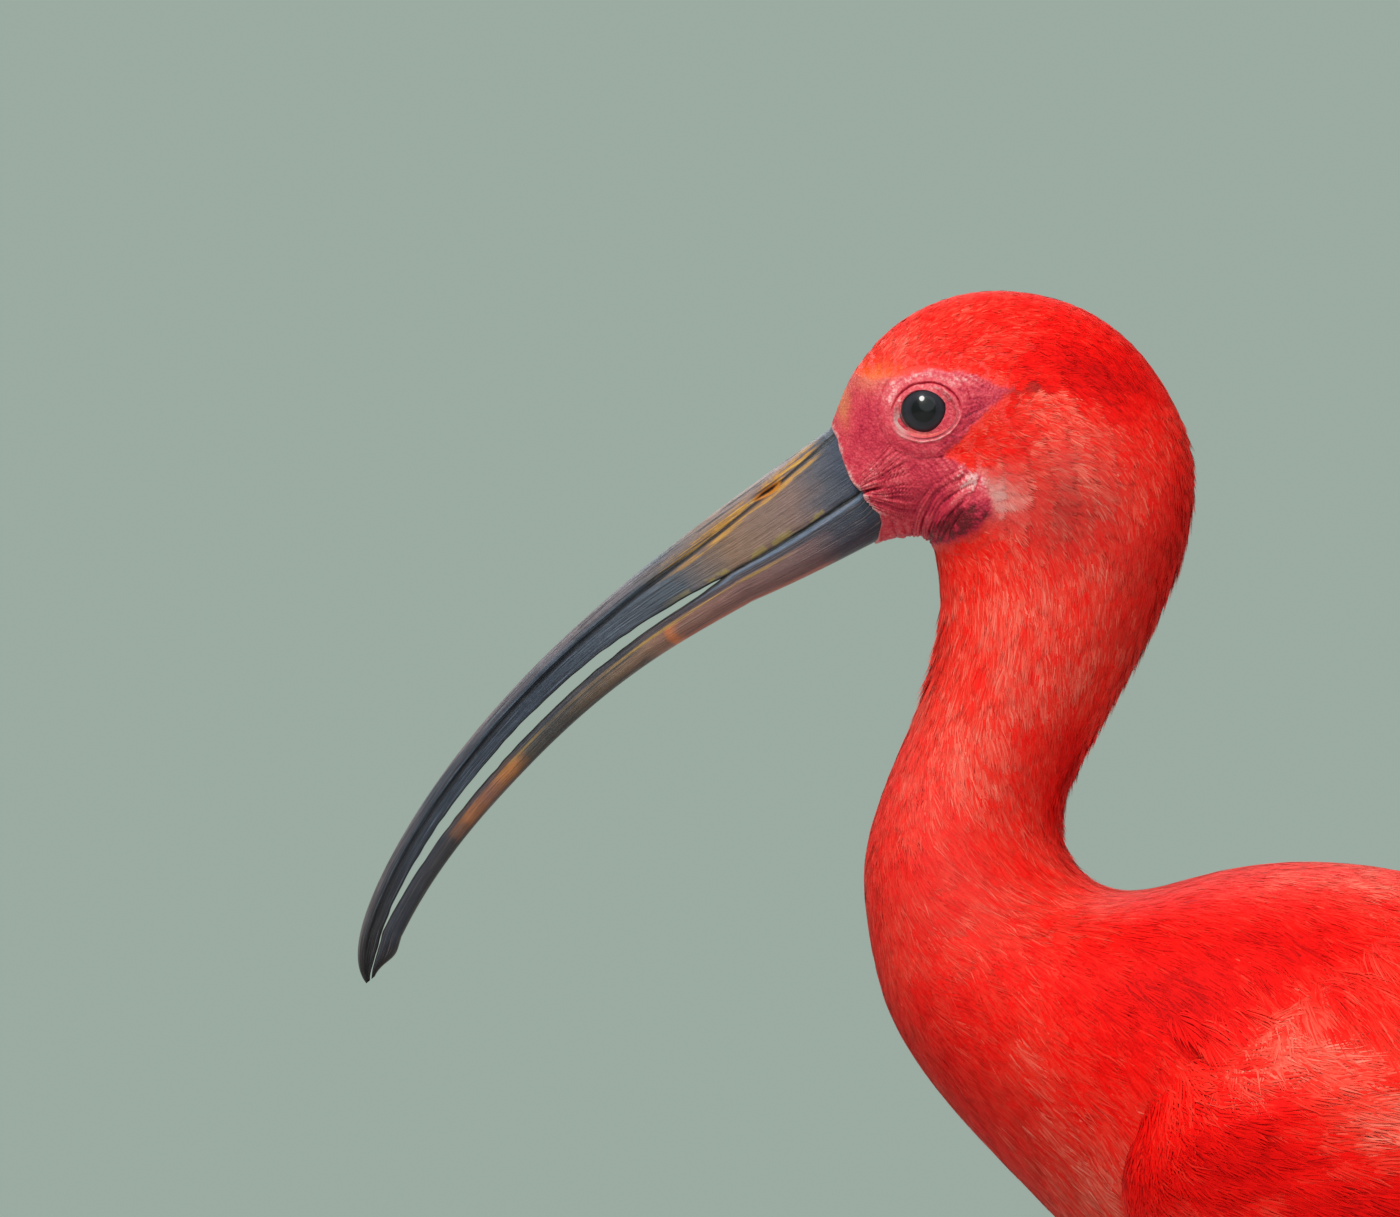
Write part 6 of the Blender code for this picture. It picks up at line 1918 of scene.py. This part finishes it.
def limb_tube(side, plates):
    """The bare leg from under the feathers down to the foot, with plates of this length and this many round it."""
    hip, ankle, foot = np.array(HIP) * (1, side, 1), ankle_place(side), foot_place(side) + UP * FOOT_RISE
    upper, lower = np.linspace(LEG_TOP, 1.0, 90), np.linspace(0.0, 1.0, 240)[1:]
    middle = np.concatenate((hip + (ankle - hip) * upper[:, None], ankle + (foot - ankle) * lower[:, None]))
    fore = np.concatenate((LEG_FORE(upper), TARSUS_FORE(lower)))
    wide = np.concatenate((LEG_SIDE(upper), TARSUS_SIDE(lower)))
    ends = ANKLE_ROUNDING
    fore[:ends] = np.minimum(fore[:ends], 4.4)
    wide[:ends] = np.minimum(wide[:ends], 4.2)
    # The bend at the ankle is rounded; the two ends stay where they are
    soft = np.exp(-(np.linspace(-2, 2, 2 * ends + 1) ** 2))
    soft /= soft.sum()
    data = np.column_stack((middle, fore, wide))
    padded = np.pad(data, ((ends, ends), (0, 0)), "edge")
    rounded = np.stack([np.convolve(column, soft, "valid") for column in padded.T], -1)
    rounded[:ends], rounded[-ends:] = data[:ends], data[-ends:]
    middle, fore, wide = rounded[:, :3], rounded[:, 3:4], rounded[:, 4:]
    way = unit(np.gradient(middle, axis=0))
    lateral = unit(ACROSS - way * way[:, 1:2])
    ahead = np.cross(lateral, way)
    turn = np.arange(0, 360, 6.0)
    c, s = cos_sin(turn)
    crack, owner = cells(path_length(middle)[:, None] / plates[0], turn / 360 * plates[1], plates[1], 3.0)
    lift = -0.28 * crack - 0.12
    points = middle[:, None] + ahead[:, None] * ((fore + lift) * c)[..., None]
    points = points + lateral[:, None] * ((wide + lift) * s)[..., None]
    return points, grid_faces(len(middle), len(turn), wrap=True), crack, owner


def toe_way(name, side):
    """The direction in which a toe points."""
    ahead, inward = cos_sin(TOES[name][1])
    return np.array((-ahead, -side * inward, 0.0))


def toe_tube(name, side, claw=False):
    """A toe with plates across its top and pads beneath, or the claw on its end."""
    length, _, half, joints = TOES[name]
    way = toe_way(name, side)
    share = np.linspace(0.0, 1.0, 60 if claw else 130)
    around = np.arange(0, 360, 12.0 if claw else 8.0)
    c, s = cos_sin(around)
    up = np.clip((0.5 - 0.5 * c) * 1.10 - 0.10, 0, 1)
    if claw:
        reach = CLAW_LENGTH * (0.85 if name == "hind" else 1.0)
        size = half * 0.53 * (1 - 0.86 * share**1.3)
        wide, tall = size * 0.94, size * 1.9
        base = 0.9 * np.sin(np.pi * (share * 0.8 + 0.1)) * (1 - share) + 0.4
        run = length - 1.0 + (reach + 1.0) * share
        crack = owner = lift = np.zeros((len(share), len(around)))
    else:
        swell = 1 + JOINT_SWELL * np.cos(2 * np.pi * joints * share)
        wide = half * (1 - TOE_TAPER * share) * swell
        tall, base, run = wide * TOE_HEIGHT, 0 * share, length * share
        end = np.sqrt(np.clip(1 - ((share - 0.965) / 0.035).clip(0, 1) ** 2 * 0.75, 0.05, 1))
        wide, tall = wide * end * 0.97, tall * end * 0.98
        beneath, owner = cells(run[:, None] / 1.9, around / 360 * 7, 7, 9.0)
        plates = np.abs(np.sin(np.pi * run / TOE_PLATE))[:, None] ** 0.5
        above = smooth(up, 0.55, 0.8)
        crack = fall_off(plates, 0.2, 0.75) * above + beneath * (1 - above)
        owner = np.where(above > 0.5, np.mod(np.floor(run / TOE_PLATE) * 0.37, 1.0)[:, None], owner)
        lift = -0.22 * crack
    out = (wide[:, None] + lift) * s
    high = base[:, None] + 0.03 + (tall[:, None] + lift) * up * 0.985
    middle = foot_place(side) + way * run[:, None]
    points = middle[:, None] + np.cross(UP, way) * out[..., None] + UP * high[..., None]
    return points, grid_faces(len(share), len(around), wrap=True), crack, owner


def sole_pad(side):
    """The rounded pad where the toes meet."""
    h, around = grid_of(np.linspace(0, 1, 24), np.arange(0, 360, 6.0))
    size = np.sqrt(np.clip(1 - 0.55 * h**2, 0, 1)) * np.where(h > 0.97, 0.85, 1.0)
    c, s = cos_sin(around)
    points = np.stack((7.3 * size * c, 6.3 * size * s, 0.03 + 6.1 * h), -1)
    crack, owner = cells(h * 4, around / 360 * 16, 16, 5.0)
    points[..., :2] *= (1 - 0.03 * crack)[..., None]
    return points + foot_place(side), grid_faces(*h.shape, wrap=True), crack, owner


def web(side, first, second):
    """The small web of skin between two toes."""
    first, second = toe_way(first, side), toe_way(second, side)
    out, over = grid_of(np.linspace(0, 1, 16), np.linspace(0, 1, 12))
    reach = 3.0 + out * (13.0 - 7.5 * np.sin(np.pi * over))
    way = unit(first * (1 - over[..., None]) + second * over[..., None])
    reach = reach / np.maximum((way * unit(first + second)).sum(-1), 0.5)
    points = foot_place(side) + way * reach[..., None] + UP * (2.2 - 0.5 * out)[..., None]
    return points, grid_faces(*out.shape), np.zeros_like(out), np.full(out.shape, 0.6)


def scaly_piece(name, parts, material, slot, *nodes):
    """One piece from several (points, faces, crack, plate) grids."""
    parts = [(points, faces, {"crack": crack, "plate": plate}) for points, faces, crack, plate in parts]
    points, faces, marks = joined(parts)
    piece = new_piece(name, points, faces, material, marks)
    weld(piece)
    settle(piece, slot, *nodes)


def make_legs():
    material = leg_finish()
    for word, side in SIDES.items():
        parts = [limb_tube(side, (2.3, 9)), sole_pad(side), web(side, "middle", "outer"), web(side, "inner", "middle")]
        parts += [toe_tube(name, side) for name in TOES]
        scaly_piece(f"leg_{word}", parts, material, "leg_skin", f"shank_{word}", f"tarsus_{word}", f"foot_{word}")


def make_claws():
    material = claw_finish()
    for word, side in SIDES.items():
        parts = [toe_tube(name, side, claw=True) for name in TOES]
        scaly_piece(f"claws_{word}", parts, material, "claw_horn", *(f"claw_{word}_{name}" for name in TOES))


def make_floor():
    mesh = bpy.data.meshes.new("floor")
    build = bmesh.new()
    bmesh.ops.create_circle(build, cap_ends=True, segments=96, radius=3.4)
    build.to_mesh(mesh)
    build.free()
    floor = place_object("floor", mesh)
    g = Finish("floor_stone", Roughness=0.7)
    colour, height = g.mottle((0.36, 0.37, 0.36), 0.03, 0.12)
    mesh.materials.append(g.wire(colour, None, height, 0.0005))


LIT_PLACE, CAMERA_AT = (-0.05, 0, 0.28), (-0.13208, -2.2013, 0.31545)  # metres; the lights point at the first
LENS, SENSOR = 300.0, 36.0  # millimetres


def soft_light(name, place, size, power, colour):
    lamp = bpy.data.lights.new(name, "AREA")
    lamp.shape, lamp.size, lamp.energy, lamp.color = "DISK", size, power, colour
    thing = place_object(name, lamp)
    thing.location = place
    thing.rotation_euler = (Vector(LIT_PLACE) - Vector(place)).to_track_quat("-Z", "Y").to_euler()


class IbisPlumage(bpy.types.PropertyGroup):
    sheen: FloatProperty(name="Sheen", description="Strength of the feathers' soft sheen", default=0.05, min=0, max=1)


class IbisStage(bpy.types.PropertyGroup):
    key_power: FloatProperty(name="Key light", description="Power of the main light in watts", default=62.0, min=0)
    fill_power: FloatProperty(name="Fill light", description="Power of the fill light in watts", default=16.0, min=0)
    sky: FloatProperty(name="Sky", description="Strength of the even light from all round", default=1.0, min=0)
    backdrop: FloatVectorProperty(
        name="Backdrop", description="Colour seen behind the model", default=(0.33, 0.41, 0.36), subtype="COLOR"
    )


class IbisSkin(bpy.types.Operator):
    """Makes the skin and the eyes"""

    bl_idname = "ibis.skin"
    bl_label = "Skin and eyes"

    def execute(self, context):
        make_skin()
        make_eyes()
        return {"FINISHED"}


class IbisCoat(bpy.types.Operator):
    """Makes the feathers of the head, neck, trunk and thighs"""

    bl_idname = "ibis.coat"
    bl_label = "Body feathers"

    def execute(self, context):
        make_body_coat()
        make_thigh_coats()
        return {"FINISHED"}


class IbisWings(bpy.types.Operator):
    """Makes the folded wings and the tail"""

    bl_idname = "ibis.wings"
    bl_label = "Wings and tail"

    def execute(self, context):
        make_wings()
        make_tail()
        return {"FINISHED"}


class IbisHorn(bpy.types.Operator):
    """Makes the bill, the bare legs and the claws"""

    bl_idname = "ibis.horn"
    bl_label = "Bill and legs"

    def execute(self, context):
        make_bill()
        make_legs()
        make_claws()
        return {"FINISHED"}


class IbisSetStage(bpy.types.Operator):
    """Makes the floor, the lights and the camera"""

    bl_idname = "ibis.stage"
    bl_label = "Stage"

    def execute(self, context):
        scene, settings = context.scene, context.scene.ibis_stage
        make_floor()
        soft_light("key", (-0.8, -1.35, 2.3), 0.85, settings.key_power * 0.9, (1.0, 0.98, 0.95))
        soft_light("front", (0.1, -2.5, 1.7), 4.0, settings.fill_power * 2.0, (0.93, 0.97, 1.0))
        soft_light("back", (-0.3, 1.9, 2.0), 2.2, settings.fill_power * 2.4, (0.95, 0.98, 1.0))
        world = bpy.data.worlds.new("sky")
        world.use_nodes = True
        colour, strength = world.node_tree.nodes["Background"].inputs[:2]
        colour.default_value, strength.default_value = (*settings.backdrop, 1.0), settings.sky
        scene.world = world
        lens = bpy.data.cameras.new("camera")
        lens.lens, lens.sensor_width = LENS, SENSOR
        lens.clip_start, lens.clip_end = 0.1, 20.0
        camera = place_object("camera", lens)
        camera.location = CAMERA_AT
        camera.rotation_euler = (math.radians(90.0), 0.0, 0.0)
        scene.camera = camera
        scene.view_settings.view_transform = "Standard"
        return {"FINISHED"}


class IbisPanel(bpy.types.Panel):
    bl_idname = "IBIS_PT_make"
    bl_label = "Scarlet ibis"
    bl_space_type = "VIEW_3D"
    bl_region_type = "UI"
    bl_category = "Ibis"

    def draw(self, context):
        for kind in OPERATORS:
            self.layout.operator(kind.bl_idname)
        for group in ("ibis_plumage", "ibis_stage"):
            settings = getattr(context.scene, group)
            for key in settings.bl_rna.properties.keys():
                if key not in ("rna_type", "name"):
                    self.layout.prop(settings, key)


OPERATORS = (IbisSkin, IbisCoat, IbisWings, IbisHorn, IbisSetStage)
CLASSES = (IbisPlumage, IbisStage, *OPERATORS, IbisPanel)


def register():
    for kind in CLASSES:
        bpy.utils.register_class(kind)
    bpy.types.Scene.ibis_plumage = PointerProperty(type=IbisPlumage)
    bpy.types.Scene.ibis_stage = PointerProperty(type=IbisStage)


def unregister():
    del bpy.types.Scene.ibis_plumage
    del bpy.types.Scene.ibis_stage
    for kind in reversed(CLASSES):
        bpy.utils.unregister_class(kind)


def main():
    register()
    bpy.ops.ibis.skin()
    bpy.ops.ibis.coat()
    bpy.ops.ibis.wings()
    bpy.ops.ibis.horn()
    bpy.ops.ibis.stage()


if __name__ == "__main__":
    main()
